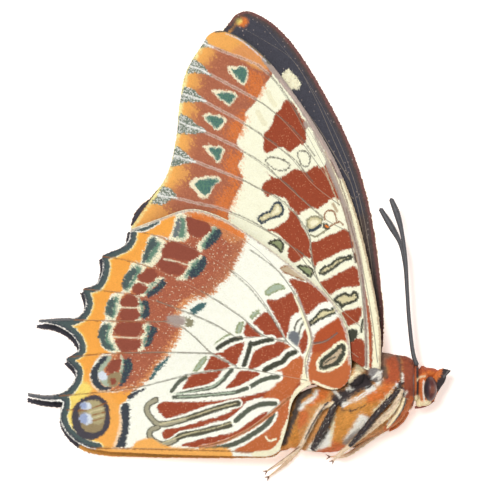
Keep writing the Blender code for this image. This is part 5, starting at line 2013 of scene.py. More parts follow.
# Rings of the thorax and the abdomen: dorsal and ventral points in pixels, half width and level.
THORAX_RINGS = (
    ((416.6, 366), (415, 402), 1.4), ((413.5, 358.5), (412, 409), 2.3),
    ((408, 355.5), (407.5, 413), 2.9), ((396, 353.5), (400, 423), 3.6),
    ((378, 351), (385, 432.5), 4.1), ((358, 354), (368, 440), 4.2), ((338, 367), (350, 449), 3.7),
    ((321, 383), (332, 453), 3.0), ((307, 388), (318, 453), 2.5), ((295, 394), (305, 452), 2.0),
    ((285, 405), (292, 451), 1.5),
)
ABDOMEN_RINGS = (
    ((300.5, 403), (310.5, 448.5), 2.0, 4.1), ((272, 405), (278, 452), 2.2, 3.6),
    ((240, 411), (244, 452), 2.0, 3.15), ((210, 418), (212, 451), 1.5, 2.65),
    ((185, 427), (186, 447), 0.9, 2.1), ((172, 434), (172, 444), 0.4, 1.75),
)
BODY_FLOW = (-0.90, -0.43, 0.0)
FLOOR_CLEARANCE = 0.04
# Rows to which the tables of a body section and of a limb are read.
BARREL_ROWS = 60
LIMB_ROWS = 90
# Rings and sides of a claw.
CLAW_RINGS = 10
CLAW_SIDES = 6


def lerp_rows(rows: Array, u: Array) -> Array:
    """Reads a table of rows at shares of its length, straight between rows."""
    places = np.linspace(0.0, 1.0, len(rows))
    return np.column_stack([np.interp(u, places, column) for column in rows.T])


def barrel(rings: tuple, inset: float, narrowing: float, grooves: int = 0) -> Shape:
    """A body section's surface, from its front at u = 0 to its back at u = 1.

    A ring is an ellipse between its dorsal and ventral points: the cosine of v goes along the
    picture and the sine of v across the body, narrower above the middle by a share.

    Args:
        rings: Dorsal point, ventral point, half width and, where it isn't the body's, the level.
        inset: How far the surface lies inside the rings, in millimetres.
        narrowing: The share by which the dorsal side is narrower.
        grooves: The number of segments, with a groove between each two.

    Returns:
        The surface.
    """
    rows = even_run(np.column_stack((
        plan([ring[0] for ring in rings]), plan([ring[1] for ring in rings]),
        [ring[2] for ring in rings], [ring[3] if len(ring) > 3 else BODY_LEVEL for ring in rings],
    )), BARREL_ROWS)

    def surface(u: Array, v: Array) -> Array:
        """Points of the section at u along it and v round it.

        Args:
            u: Places along it, from 0 to 1.
            v: Angles round it.

        Returns:
            x, y and z of the points.
        """
        row = lerp_rows(rows, u)
        centre, reach = (row[:, :2] + row[:, 2:4]) / 2.0, (row[:, :2] - row[:, 2:4]) / 2.0
        length = np.linalg.norm(reach, axis=1)
        close = np.sqrt(np.clip(1.0 - np.abs(2.0 * u - 1.0) ** 14, 0.01, 1.0))
        close = close * (1.0 - 0.06 * np.abs(np.cos(math.pi * grooves * u)) ** 8 * (grooves > 0))
        up = np.cos(v)
        reach = reach * (np.maximum(length - inset, 0.1) / length * close * up)[:, None]
        across = np.maximum(row[:, 4] - inset, 0.1) * close * np.sin(v)
        level = row[:, 5] - across * (1.0 - narrowing * np.maximum(up, 0.0))
        return np.column_stack((centre + reach, np.maximum(level, inset * 0.5)))

    return surface


def egg(centre: tuple[float, float, float], radii: tuple[float, float, float]) -> Shape:
    """An ellipsoid, from its highest point in the picture at u = 0 to its lowest at u = 1.

    Args:
        centre: x, y and z of its middle.
        radii: Its half sizes in x, y and z.

    Returns:
        The surface.
    """
    def surface(u: Array, v: Array) -> Array:
        """Points at the polar angle pi times u and the angle v round the picture's upward axis.

        Args:
            u: Places from top to bottom, from 0 to 1.
            v: Angles round it.

        Returns:
            x, y and z of the points.
        """
        polar_angle = math.pi * (0.02 + 0.96 * u)
        unit = np.column_stack((np.sin(polar_angle) * np.cos(v), np.cos(polar_angle),
                                np.sin(polar_angle) * np.sin(v)))
        return unit * radii + centre

    return surface


def limb(path: Points, radii: tuple[float, ...], flat: float = 1.0, joints: int = 0) -> Shape:
    """A tapering limb along a path of pixels and levels.

    A ring is an ellipse across the path: the cosine of v goes level to the left, the sine of v
    goes up, and the radius follows the given ones, swelling at each joint.

    Args:
        path: Pixels across and down, and the level in millimetres.
        radii: The radius at each point of the path.
        flat: The height over the width.
        joints: The number of segments.

    Returns:
        The surface.
    """
    rows = even_run(np.column_stack((plan(path), np.array(path)[:, 2], radii)), LIMB_ROWS)
    tangent = np.gradient(rows[:, :3], axis=0)
    tangent /= np.linalg.norm(tangent, axis=1)[:, None]
    side = np.cross((0.0, 0.0, 1.0), tangent)
    side /= np.linalg.norm(side, axis=1)[:, None]
    table = np.column_stack((rows, side, np.cross(tangent, side), tangent))

    def surface(u: Array, v: Array) -> Array:
        """Points of the limb at u along it and v round it.

        Args:
            u: Places along it, from 0 to 1.
            v: Angles round it.

        Returns:
            x, y and z of the points.
        """
        row = lerp_rows(table, u)
        ends = np.minimum(u, 1.0 - u) * LIMB_ROWS
        close = np.sqrt(np.clip(ends, 0.05, 1.0))
        swell = 1.0 + 0.13 * np.cos(math.tau * joints * u) ** 2 * (joints > 0)
        radius = (row[:, 3] * close * swell)[:, None]
        point = row[:, :3] + row[:, 4:7] * radius * np.cos(v)[:, None]
        point = point + row[:, 7:10] * radius * flat * np.sin(v)[:, None]
        return np.column_stack((point[:, :2], np.maximum(point[:, 2], 0.02)))

    return surface


def skin_of(shape: Shape, rings: int, sides: int) -> tuple[Array, list[Array], Array]:
    """Samples a surface on a grid and closes its ends.

    Args:
        shape: The surface.
        rings: The number of rings along it.
        sides: The number of points round it.

    Returns:
        The vertices, the faces and the vertices' places on the unwrap.
    """
    u = np.repeat(np.linspace(0.0, 1.0, rings), sides)
    v = np.tile(np.arange(sides) * math.tau / sides, rings)
    patches = np.column_stack((0.01 + 0.98 * u, 0.01 + 0.98 * v / math.tau))
    return shape(u, v), tube_faces(rings, sides), patches


@dataclass(frozen=True)
class Lie:
    """How a coat of tufts lies.

    Attributes:
        density: Tufts to a square millimetre.
        length: Their length, in millimetres.
        width: Their half width, in millimetres.
        rise: How steeply they stand out of the skin: 0 is flat and 1 is upright.
        flow: The direction in which they lie, or nothing where they follow the surface's u.
        spread: How far their directions scatter.
        droop: How far their tips bend back to the skin.
    """

    density: float
    length: float
    width: float
    rise: float
    flow: tuple[float, float, float] | None = None
    spread: float = 0.22
    droop: float = 0.5


# A tuft is a thin wedge of two parts: three points at its root, three beyond the middle, one tip.
TUFT_SHARES = np.array((0.0, 0.0, 0.0, 0.52, 0.52, 0.52, 1.0))
TUFT_WIDTHS = np.array((1.0, 1.0, 1.0, 0.72, 0.72, 0.72, 0.0))
TUFT_ANGLES = np.array((0.0, 1.0, 2.0, 0.0, 1.0, 2.0, 0.0)) * math.tau / 3.0 + math.pi / 6.0
# Painted shade and highlight: a tuft is painted darker at its root, deep in the coat, and lighter at
# its tip.
TUFT_PAINTED_SHADING = np.array((0.86, 0.86, 0.86, 1.0, 1.0, 1.0, 1.06))
TUFT_TRIANGLES = np.array(((2, 1, 0), (3, 4, 6), (4, 5, 6), (5, 3, 6)))
TUFT_QUADS = np.array(((0, 1, 4, 3), (1, 2, 5, 4), (2, 0, 3, 5)))


@dataclass
class Coat:
    """A skin and its tufts, painted by the same marks.

    Attributes:
        name: The start of the pieces' names.
        slot: A material slot's name, handed to its pieces.
        nodes: The CAD nodes that they stand for.
        paint: Paints a canvas of points.
        ground: The canvas's first colour.
        finish: The skin's finish.
        seed: Chooses the tufts and the ragged edges of the paint.
    """

    name: str
    slot: str
    nodes: tuple[str, ...]
    paint: Callable[[Canvas], None]
    ground: Tint
    finish: Finish = BODY_FINISH
    seed: int = 3

    def __post_init__(self) -> None:
        """Starts the two pieces."""
        self.skin = Piece(f"{self.name}_skin", self.slot, self.finish)
        self.hair = Piece(f"{self.name}_hair", self.slot, HAIR_FINISH, smooth=False)
        self.rng = np.random.default_rng(self.seed)

    def tints(self, points: Array) -> Array:
        """Paints points of the body by their place in the picture.

        Args:
            points: Points whose first two columns are x and y in millimetres.

        Returns:
            One linear colour for each point.
        """
        canvas = Canvas(pixels_of(points), self.ground, self.seed)
        self.paint(canvas)
        return canvas.colours

    def cover(self, shape: Shape, rings: int, sides: int, lie: Lie | None = None,
              keep: Callable[[Array], Array] | None = None) -> None:
        """Adds a surface to the skin, and its tufts to the hair.

        Args:
            shape: The surface.
            rings: Its rings along it.
            sides: Its points round it.
            lie: How its tufts lie, or nothing where it is bare.
            keep: Tells at which points tufts grow.
        """
        vertices, faces, patches = skin_of(shape, rings, sides)
        self.skin.add(vertices, faces, self.tints(vertices), patches)
        if lie is not None:
            self.sow(shape, lie, keep)

    def sow(self, shape: Shape, lie: Lie, keep: Callable[[Array], Array] | None) -> None:
        """Grows tufts evenly over a surface.

        Roots are drawn in u and v and kept with a chance that follows the surface's stretch there,
        the length of the cross product of its two slopes.

        Args:
            shape: The surface.
            lie: How the tufts lie.
            keep: Tells at which points tufts grow.
        """
        u, v = self.rng.random((2, 4000))
        u, v = 0.004 + 0.992 * u, v * math.tau
        stretch = np.linalg.norm(np.cross(*slopes(shape, u, v)), axis=1)
        tries = int(lie.density * stretch.max() * math.tau)
        u, v = 0.004 + 0.992 * self.rng.random(tries), self.rng.random(tries) * math.tau
        by_u, by_v = slopes(shape, u, v)
        normal = np.cross(by_v, by_u)
        size = np.linalg.norm(normal, axis=1)
        chosen = self.rng.random(tries) * stretch.max() < size
        roots = shape(u, v)
        if keep is not None:
            chosen &= keep(roots)
        u, v, roots, normal, by_u = (table[chosen] for table in (u, v, roots, normal, by_u))
        if len(roots) == 0:
            return
        normal /= np.linalg.norm(normal, axis=1)[:, None]
        flow = by_u if lie.flow is None else np.tile(lie.flow, (len(roots), 1))
        patches = np.column_stack((0.01 + 0.98 * u, 0.01 + 0.98 * v / math.tau))
        self.lay(roots, normal, flow, lie, patches)

    def lay(self, roots: Array, normal: Array, flow: Array, lie: Lie, patches: Array) -> None:
        """Adds tufts at roots.

        A tuft's middle line is its root, plus its share of the length along the lie, plus its rise
        times the share less half the droop times the share squared along the normal. Its sections
        are flat ellipses.

        Args:
            roots: x, y and z of the roots.
            normal: Unit normals there.
            flow: The directions in which the tufts lie.
            lie: Their sizes.
            patches: The roots' places on the unwrap.
        """
        count = len(roots)
        along = flow / np.linalg.norm(flow, axis=1)[:, None]
        along = along + self.rng.normal(0.0, lie.spread, (count, 3))
        along -= (along * normal).sum(axis=1)[:, None] * normal
        along /= np.maximum(np.linalg.norm(along, axis=1), 1e-6)[:, None]
        across = np.cross(normal, along)
        length = lie.length * self.rng.uniform(0.65, 1.25, count)
        width = lie.width * self.rng.uniform(0.75, 1.25, count)
        rise = lie.rise * self.rng.uniform(0.5, 1.4, count)
        reach = length[:, None] * TUFT_SHARES
        lift = reach * rise[:, None] * (1.0 - 0.5 * lie.droop * TUFT_SHARES) - 0.04
        wide = width[:, None] * TUFT_WIDTHS * np.cos(TUFT_ANGLES)
        thick = 0.45 * width[:, None] * TUFT_WIDTHS * np.sin(TUFT_ANGLES)
        points = (roots[:, None] + along[:, None] * reach[..., None]
                  + across[:, None] * wide[..., None] + normal[:, None] * (lift + thick)[..., None])
        points[..., 2] = np.maximum(points[..., 2], FLOOR_CLEARANCE + 0.02 * TUFT_WIDTHS)
        base = np.arange(count)[:, None, None] * len(TUFT_SHARES)
        middles = roots + 0.5 * length[:, None] * along
        colours = self.tints(middles) * self.rng.normal(1.0, 0.15, count)[:, None]
        # Painted shade and highlight: every point of a tuft takes the tuft's colour times its painted
        # shading.
        painted_shading = (colours[:, None] * TUFT_PAINTED_SHADING[None, :, None]).reshape(-1, 3)
        corner = np.column_stack((TUFT_SHARES - 0.5, np.cos(TUFT_ANGLES) * 0.5)) * PATCH
        self.hair.add(points.reshape(-1, 3),
                      [(base + TUFT_TRIANGLES).reshape(-1, 3), (base + TUFT_QUADS).reshape(-1, 4)],
                      painted_shading, (patches[:, None] + corner).reshape(-1, 2))

    def build(self) -> None:
        """Builds the skin and, where any grew, the hair."""
        self.skin.build(self.nodes)
        if self.hair.count:
            self.hair.build(self.nodes)


def slopes(shape: Shape, u: Array, v: Array) -> tuple[Array, Array]:
    """The surface's slopes along u and v, from small steps both ways.

    Args:
        shape: The surface.
        u: Places along it.
        v: Angles round it.

    Returns:
        The slopes along u and those along v.
    """
    step = 0.003
    by_u = (shape(u + step, v) - shape(u - step, v)) / (2.0 * step)
    by_v = (shape(u, v + step) - shape(u, v - step)) / (2.0 * step)
    return by_u, by_v


@dataclass(frozen=True)
class Trunk:
    """The thorax and the abdomen, in orange-brown hair with dark and white stripes."""

    upper_lie: Lie = Lie(62.0, 0.46, 0.042, 0.20, BODY_FLOW)
    lower_lie: Lie = Lie(12.0, 0.90, 0.07, 0.20, BODY_FLOW)
    lump_lie: Lie = Lie(50.0, 0.5, 0.045, 0.22, BODY_FLOW)
    abdomen_lie: Lie = Lie(26.0, 0.62, 0.045, 0.2, BODY_FLOW)
    inset: float = 0.16
    lumps: tuple[tuple[tuple[float, float], float, Points], ...] = (
        ((374.5, 374.0), 7.5, (1.0, 0.85, 1.05)), ((355.0, 376.0), 7.4, (1.0, 1.1, 1.0)),
    )
    marks: tuple[Mark | Stroke, ...] = (
        *plain(Tint.HAIR_GOLD, 2.0, ((330, 406), (352, 402), (378, 392), (384, 398), (372, 412),
                                     (352, 432), (336, 450), (330, 440))),
        *plain(Tint.HAIR_BROWN, 1.6,
               ((366, 344), (396, 346), (400, 355), (390, 359), (385, 366), (380, 385), (366, 372))),
        *plain(Tint.HAIR_RED, 1.6, ((386, 360), (398, 356), (399, 380), (392, 385), (383, 382),
                                    (388, 372))),
        *plain(Tint.HAIR_BRIGHT, 1.6, ((378, 388), (384, 384), (394, 386), (388, 396), (376, 400),
                                       (366, 402), (368, 394))),
        *plain(Tint.HAIR_COLLAR, 1.4,
               ((402, 350), (418, 358), (418, 404), (406, 404), (403, 390), (402, 370))),
        *lines(Tint.HAIR_DARK, 3.4, ((398, 354), (400, 368), (401, 382)), strength=0.75),
        *lines(Tint.HAIR_GREY, 2.6, ((414, 376), (414.6, 388), (414, 402)), strength=0.8),
        *plain(Tint.HAIR_GREY, 1.2, ((369, 369), (380, 367), (382, 376), (375, 381), (369, 377))),
        *lines(Tint.HAIR_WHITE, 2.0, ((370, 380), (376, 374), (381, 371))),
        *lines(Tint.HAIR_DARK, 4.6, ((384, 368), (386, 376)), strength=0.8),
        *lines(Tint.HAIR_BRIGHT, 5.0, ((411, 398), (405, 410), (396, 420), (386, 428))),
        *lines(Tint.HAIR_BLACK, 2.6, ((404, 393), (401, 405), (394, 418), (388, 425))),
        *lines(Tint.HAIR_WHITE, 2.6, ((403, 402), (397, 412), (388, 424)), ((394, 387), (402, 380))),
        *lines(Tint.HAIR_BLACK, 5.0, ((401, 383), (396, 390))),
        *lines(Tint.MIST, 3.6, ((402, 390), (398, 396))),
        *lines(Tint.HAIR_WHITE, 1.6, ((402, 373), (402, 381)), ((406, 391), (403, 399))),
        *lines(Tint.HAIR_CREAM, 3.4, ((391, 391), (383, 401), (372, 413))),
        *plain(Tint.HAIR_WHITE, 1.6,
               ((361, 414), (369, 417), (371, 422), (362, 430), (352, 436), (344, 440), (350, 430))),
        *lines(Tint.HAIR_GREY, 5.0, ((358, 430), (345, 443)), strength=0.8),
        *plain(Tint.HAIR_CREAM, 1.6, ((346, 380), (352, 374), (357, 364), (364, 366), (360, 376),
                                      (350, 386))),
        *plain(Tint.HAIR_BLACK, 1.2,
               ((356, 376), (366, 373), (371, 378), (371, 387), (362, 391), (352, 396), (345, 403),
                (337, 406), (331, 400), (334, 393), (346, 386))),
        *lines(Tint.HAIR_WHITE, 2.6, ((347, 388), (353, 388.5)), ((333, 389), (340, 396)),
               strength=0.8),
        *lines(Tint.HAIR_WHITE, 4.2, ((343, 405), (352, 400), (362, 395), (371, 389), (379, 380),
                                      (378, 372))),
        *lines(Tint.HAIR_BLACK, 1.7, ((340, 409), (352, 410), (358, 407.5), (367, 403))),
        *plain(Tint.HAIR_RUST, 2.0, ((318, 446), (334, 441), (346, 447), (346, 456), (318, 456))),
        *plain(Tint.HAIR_BRIGHT, 1.4, ((318, 389), (329, 391), (325, 398), (315, 404), (308, 407),
                                       (312, 400))),
        *lines(Tint.HAIR_CREAM, 4.0, ((333, 410), (332, 428), (329, 445))),
        *plain(Tint.HAIR_WHITE, 1.4, ((329, 428), (329, 444), (318, 450), (306, 452), (314, 440),
                                      (322, 430))),
        *lines(Tint.HAIR_DARK, 2.6, ((327, 428), (323, 437)), ((318, 442), (313, 450))),
        *lines(Tint.HAIR_CREAM, 3.0, ((321, 406), (311, 424), (301, 446))),
        *plain(Tint.HAIR_RUST, 1.6, ((300, 412), (309, 410), (306, 422), (299, 428))),
        *lines(Tint.HAIR_DARK, 6.0, ((309, 391), (300, 398), (297, 408), (293, 419), (288, 432),
                                     (284, 442))),
        *lines(Tint.HAIR_WHITE, 3.6, ((317, 391), (314, 397), (306, 402), (300, 409))),
    )

    def paint(self, canvas: Canvas) -> None:
        """Paints the stripes and patches of hair."""
        canvas.paint(self.marks)
        canvas.shade(0.08, 5.0, 15)

    def build(self) -> None:
        """Builds the thorax and the abdomen."""
        thorax = Coat("thorax", "thorax", ("thorax",), self.paint, Tint.HAIR_ORANGE, seed=51)
        shape = barrel(THORAX_RINGS, self.inset, 0.3)
        thorax.cover(shape, 60, 48, self.upper_lie, lambda points: points[:, 2] > 3.4)
        thorax.sow(shape, self.lower_lie, lambda points: points[:, 2] < 3.6)
        for pixel, level, radii in self.lumps:
            x, y = plan((pixel,))[0]
            thorax.cover(egg((x, y, level), radii), 30, 28, self.lump_lie)
        thorax.build()
        abdomen = Coat("abdomen", "abdomen", ("abdomen",), self.paint, Tint.HAIR_GOLD, seed=52)
        abdomen.cover(barrel(ABDOMEN_RINGS, 0.22, 0.0, 8), 80, 32, self.abdomen_lie)
        abdomen.build()


@dataclass(frozen=True)
class Head:
    """The head in short orange hair, with domed eyes, two palps and a rolled tongue.

    Attributes:
        lumps: Centre pixels and radii of the neck, the head, its crown and its chin.
    """

    lumps: tuple[Points, ...] = (
        ((415.8, 383.0), (0.62, 2.2, 1.60)), ((423.0, 384.5), (0.82, 2.2, 1.6)),
        ((428.0, 372.6), (1.25, 0.58, 0.85)), ((424.0, 401.4), (0.9, 0.55, 0.80)),
        ((419.4, 404.0), (0.42, 0.36, 0.60)),
    )
    eye_pixel: tuple[float, float] = (430.0, 388.5)
    eye_radii: tuple[float, float, float] = (0.83, 1.48, 1.35)
    eye_level: float = 1.2
    palp_path: Points = ((431.5, 401), (434.5, 392), (438, 380), (442.5, 373.5), (449, 371))
    palp_widths: tuple[float, ...] = (0.26, 0.36, 0.78, 0.62, 0.15)
    palp_flat: float = 0.5
    palp_offset: float = 0.52
    tongue_path: Points = ((414.5, 407.4), (421, 406.6), (428, 404.2), (433.5, 400.5))
    lie: Lie = Lie(80.0, 0.34, 0.028, 0.30, (-0.35, 0.75, 0.1), 0.35)
    palp_lie: Lie = Lie(90.0, 0.34, 0.028, 0.22, None, 0.15)
    marks: tuple[Mark | Stroke, ...] = (
        *plain(Tint.HAIR_RED, 1.4, ((414, 362), (424, 361), (440, 364), (440, 371), (426, 371),
                                    (416, 376))),
        *plain(Tint.HAIR_COLLAR, 1.4, ((404, 354), (414, 356), (415, 380), (414, 406), (404, 406))),
        *lines(Tint.HAIR_BLACK, 2.4, ((417, 368), (417.2, 384), (417, 402))),
        *lines(Tint.HAIR_RUST, 2.8, ((420.6, 380), (420.4, 390), (421, 400))),
        *lines(Tint.HAIR_WHITE, 1.7, ((423.4, 381), (423.2, 390), (424, 401))),
        *lines(Tint.HAIR_CREAM, 1.6, ((417, 379.5), (420, 377), (425, 376))),
        *plain(Tint.HAIR_CREAM, 1.0, ((414, 396), (419, 395), (421, 401), (434, 398), (436, 402),
                                      (426, 409), (413, 411))),
    )
    palp_marks: tuple[Mark | Stroke, ...] = (
        *plain(Tint.HAIR_RUST, 0.8, ((437, 366), (444, 366), (443, 373), (438, 378))),
        *plain(Tint.HAIR_BLACK, 0.8, ((443, 365), (447, 364), (453, 371), (446, 380), (440, 390),
                                      (435, 392), (436.5, 381), (441, 375))),
        *lines(Tint.HAIR_GREY, 1.6, ((447.6, 371.5), (443.5, 376.5)), strength=0.6),
    )

    def paint(self, canvas: Canvas) -> None:
        """Paints the head's stripes, white behind the eye and pale under the chin."""
        canvas.paint(self.marks)
        canvas.shade(0.08, 4.0, 16)

    def paint_palp(self, canvas: Canvas) -> None:
        """Paints the palps orange above and black in front."""
        canvas.paint(self.palp_marks)
        canvas.shade(0.08, 4.0, 17)

    def paint_eye(self, canvas: Canvas) -> None:
        """Paints the eye's darker hind part and a paler spot.

        Args:
            canvas: The points to paint.
        """
        canvas.fill(((418, 370), (427, 370), (428.5, 388), (427, 407), (418, 407)), Tint.EYE_DARK,
                    1.6)
        canvas.fill(((431, 385), (434, 386), (434, 392), (430, 393)), Tint.RUST, 1.4, 0.4)

    def build(self) -> None:
        """Builds the head, the eyes, the palps and the tongue."""
        head = Coat("head", "head", ("head",), self.paint, Tint.HAIR_BRIGHT, seed=53)
        for pixel, radii in self.lumps:
            x, y = plan((pixel,))[0]
            head.cover(egg((x, y, BODY_LEVEL), radii), 30, 28, self.lie)
        head.build()
        x, y = plan((self.eye_pixel,))[0]
        for name, side in (("eye_right", 1), ("eye_left", -1)):
            eye = Coat(name, "eye", (name,), self.paint_eye, Tint.EYE_MAROON, EYE_FINISH, 54)
            eye.cover(self.eye(x, y, side), 48, 48)
            eye.build()
        for name, side in (("palp_right", 1), ("palp_left", -1)):
            level = BODY_LEVEL + side * self.palp_offset
            path = tuple((*point, level) for point in self.palp_path)
            palp = Coat(name, "palp", (name,), self.paint_palp, Tint.HAIR_BRIGHT, seed=55)
            palp.cover(limb(path, self.palp_widths, self.palp_flat), 40, 20, self.palp_lie)
            palp.build()
        path = tuple((*point, BODY_LEVEL) for point in self.tongue_path)
        tongue = Coat("proboscis", "proboscis", ("proboscis",), lambda canvas: None,
                      Tint.TONGUE_RED, CLAW_FINISH, 56)
        tongue.cover(limb(path, (0.15, 0.17, 0.17, 0.13), 1.0, 14), 90, 14)
        tongue.build()

    def eye(self, x: float, y: float, side: int) -> Shape:
        """An eye: an ellipsoid whose inner half is flattened into the head.

        Args:
            x: Its middle, in millimetres.
            y: Its middle, in millimetres.
            side: 1 for the right eye and -1 for the left one.

        Returns:
            The surface.
        """
        dome = egg((0.0, 0.0, 0.0), self.eye_radii)

        def surface(u: Array, v: Array) -> Array:
            """Points of the dome, with heights on the inner side cut to a tenth.

            Args:
                u: Places from top to bottom, from 0 to 1.
                v: Angles round it.

            Returns:
                x, y and z of the points.
            """
            point = dome(u, v)
            level = np.where(point[:, 2] * side < 0.0, 0.1, 1.0) * point[:, 2]
            return np.column_stack((point[:, :2] + (x, y), BODY_LEVEL + side * self.eye_level + level))

        return surface


@dataclass(frozen=True)
class Feelers:
    """The two antennae: many short segments, thickening to a club."""

    right: Points = ((417.2, 366), (413.6, 356), (409.2, 322), (407, 290), (405.6, 262), (402, 234),
                     (396.5, 213), (390.5, 198))
    left: Points = ((417.2, 366), (413.6, 356), (409.2, 322), (407, 290), (404.8, 264), (400, 243),
                    (391.5, 227), (380, 208))
    offset: float = 0.62
    radii: tuple[float, ...] = (0.27, 0.24, 0.22, 0.22, 0.22, 0.24, 0.37, 0.26)
    segments: int = 44

    def paint(self, canvas: Canvas) -> None:
        """Leaves the ground, with a slow change of tone."""
        canvas.shade(0.10, 6.0, 18)

    def build(self) -> None:
        """Builds both antennae."""
        for name, side, points in (("antenna_right", 1, self.right), ("antenna_left", -1, self.left)):
            path = tuple((*point, BODY_LEVEL + side * self.offset) for point in points)
            feeler = Coat(name, "antenna", (name,), self.paint, Tint.ANTENNA_GREY, FEELER_FINISH,
                          57)
            feeler.cover(limb(path, self.radii, 1.0, self.segments), 4 * self.segments + 1, 14)
            feeler.build()


@dataclass(frozen=True)
class LegPart:
    """A part of a leg.

    Attributes:
        path: Pixels and levels.
        radii: The radius at each point, to the CAD's surface.
        top: The tint of its upper face.
        edge: The tint of the fringe along its sides.
        lie: How its tufts lie.
        joints: The number of its segments.
        claws: Whether it ends in claws.
    """

    path: Points
    radii: tuple[float, ...]
    top: Tint
    edge: Tint
    lie: Lie
    joints: int = 0
    claws: bool = False


THIGH_LIE = Lie(50.0, 0.50, 0.034, 0.22, None, 0.25)
SHIN_LIE = Lie(60.0, 0.34, 0.028, 0.16, None, 0.15)


@dataclass(frozen=True)
class Legs:
    """The six legs: furred thighs, scaled shins and feet, and paired claws."""

    parts: dict[str, tuple[LegPart, ...]] = field(default_factory=lambda: {
        "fore_leg_right": (
            LegPart(((404.5, 397, 7.6), (401, 406, 7.6), (394.5, 417, 7.4), (387, 427, 6.6)),
                    (0.30, 0.36, 0.33, 0.18), Tint.HAIR_CREAM, Tint.HAIR_CREAM, SHIN_LIE),
        ),
        "fore_leg_left": (
            LegPart(((408, 412, 2.8), (403, 420, 2.1), (396.5, 426.5, 1.7), (390, 431, 1.8)),
                    (0.27, 0.33, 0.30, 0.18), Tint.HAIR_BRIGHT, Tint.HAIR_WHITE, SHIN_LIE),
        ),
        "mid_leg_right": (
            LegPart(((349, 446, 6.9), (360, 433, 8.15), (377, 412, 8.75), (391, 397, 8.7),
                     (401, 387.5, 8.3)), (0.26, 0.36, 0.37, 0.35, 0.30), Tint.HAIR_BLACK,
                    Tint.HAIR_DARK, THIGH_LIE),
            LegPart(((401, 387.5, 8.3), (393, 407, 8.4), (378, 421, 8.1), (362, 434, 7.3),
                     (347, 447, 6.2), (338, 455, 5.5), (332.5, 461, 5.0)),
                    (0.36, 0.45, 0.43, 0.38, 0.31, 0.26, 0.14), Tint.LEG_TAN, Tint.HAIR_CREAM,
                    SHIN_LIE, 7, True),
        ),
        "mid_leg_left": (
            LegPart(((352, 447, 1.7), (365, 438, 1.1), (380, 425, 0.55), (396, 412, 0.48)),
                    (0.30, 0.40, 0.42, 0.34), Tint.HAIR_BLACK, Tint.HAIR_DARK, THIGH_LIE),
            LegPart(((396, 412, 0.48), (391, 425, 1.0), (378, 434, 1.5), (362, 445.5, 1.75),
                     (345, 456, 2.0), (329, 457, 2.4)), (0.34, 0.34, 0.34, 0.31, 0.27, 0.14),
                    Tint.LEG_TAN, Tint.HAIR_CREAM, SHIN_LIE, 7, True),
        ),
        "hind_leg_right": (
            LegPart(((312, 449, 6.2), (319, 436, 7.3), (327, 420, 8.1), (335, 402, 8.15)),
                    (0.32, 0.44, 0.46, 0.36), Tint.HAIR_BLACK, Tint.HAIR_DARK, THIGH_LIE),
            LegPart(((335, 402, 8.15), (322, 407, 7.8), (310, 427, 7.3), (299, 447, 6.4),
                     (285, 459, 5.6), (266, 471.5, 4.6)), (0.32, 0.34, 0.31, 0.28, 0.26, 0.14),
                    Tint.LEG_TAN, Tint.HAIR_CREAM, SHIN_LIE, 7, True),
        ),
        "hind_leg_left": (
            LegPart(((318, 447, 1.45), (325, 434, 0.6), (330, 421, 0.3), (336, 405, 0.27)),
                    (0.30, 0.32, 0.28, 0.26), Tint.HAIR_BLACK, Tint.HAIR_DARK, THIGH_LIE),
            LegPart(((336, 405, 0.27), (322, 411, 0.33), (310, 429, 0.55), (301, 447, 0.9),
                     (288, 462, 0.9), (268, 478, 0.7)), (0.26, 0.30, 0.31, 0.28, 0.26, 0.14),
                    Tint.LEG_TAN, Tint.HAIR_CREAM, SHIN_LIE, 7, True),
        ),
    })
    coat_depth: float = 0.06
    claw_length: float = 0.85
    marks: tuple[Mark | Stroke, ...] = (
        *lines(Tint.HAIR_BLACK, 2.2, ((406, 395), (403, 407), (396, 419), (389, 428))),
        *lines(Tint.HAIR_DARK, 1.6, ((400, 400), (394, 412), (386, 423))),
        *lines(Tint.LEG_BROWN, 1.1, ((402, 394), (388, 410), (372, 427), (355, 442)),
               ((392, 399), (378, 416), (362, 431)), strength=0.5),
        *lines(Tint.HAIR_CREAM, 1.8, ((403, 397), (391, 413), (376, 428), (358, 441))),
        *lines(Tint.HAIR_BLACK, 1.6, ((328, 401), (320, 411), (312, 424), (305, 438))),
        *lines(Tint.HAIR_CREAM, 1.8, ((333, 402), (323, 412), (314, 428), (304, 446))),
        *lines(Tint.HAIR_BROWN, 1.4, ((300, 446), (284, 457), (268, 469))),
    )

    def build(self) -> None:
        """Builds each leg as a skin with tufts, and its claws."""
        for seed, (name, parts) in enumerate(self.parts.items(), 60):
            leg = Coat(name, "leg", (name,), self.paint, parts[-1].top, LEG_FINISH, seed)
            claws = Piece(f"{name}_claws", "leg", CLAW_FINISH)
            for part in parts:
                leg.ground = part.top
                radii = tuple(max(radius - self.coat_depth, 0.08) for radius in part.radii)
                shape = limb(part.path, radii, 1.0, part.joints)
                leg.cover(shape, 90, 14, part.lie)
                leg.ground = part.edge
                leg.sow(shape, Lie(0.5 * part.lie.density, 1.15 * part.lie.length, part.lie.width,
                                   0.5, None, 0.3), self.flanks(part.path))
                if part.claws:
                    self.add_claws(claws, part.path)
            leg.build()
            if claws.count:
                claws.build((name,))

    def paint(self, canvas: Canvas) -> None:
        """Paints fine lines along the shins over the part's own tint, and dark and pale scales.

        Args:
            canvas: The points to paint.
        """
        if canvas.ground in (Tint.LEG_TAN, Tint.HAIR_CREAM):
            canvas.paint(self.marks)
        whole = ((250, 380), (420, 380), (420, 490), (250, 490))
        canvas.flecks(whole, 0.08, Tint.LEG_BROWN, 0.5)
        canvas.flecks(whole, 0.05, Tint.HAIR_WHITE, 0.6)
        canvas.shade(0.06, 4.0, 19)

    def flanks(self, path: Points) -> Callable[[Array], Array]:
        """Tells which points lie well to the side of a path, seen from above."""
        line = smooth_run(plan(path), 0.3)
        return lambda points: line_distance(points[:, :2], line) > 0.17

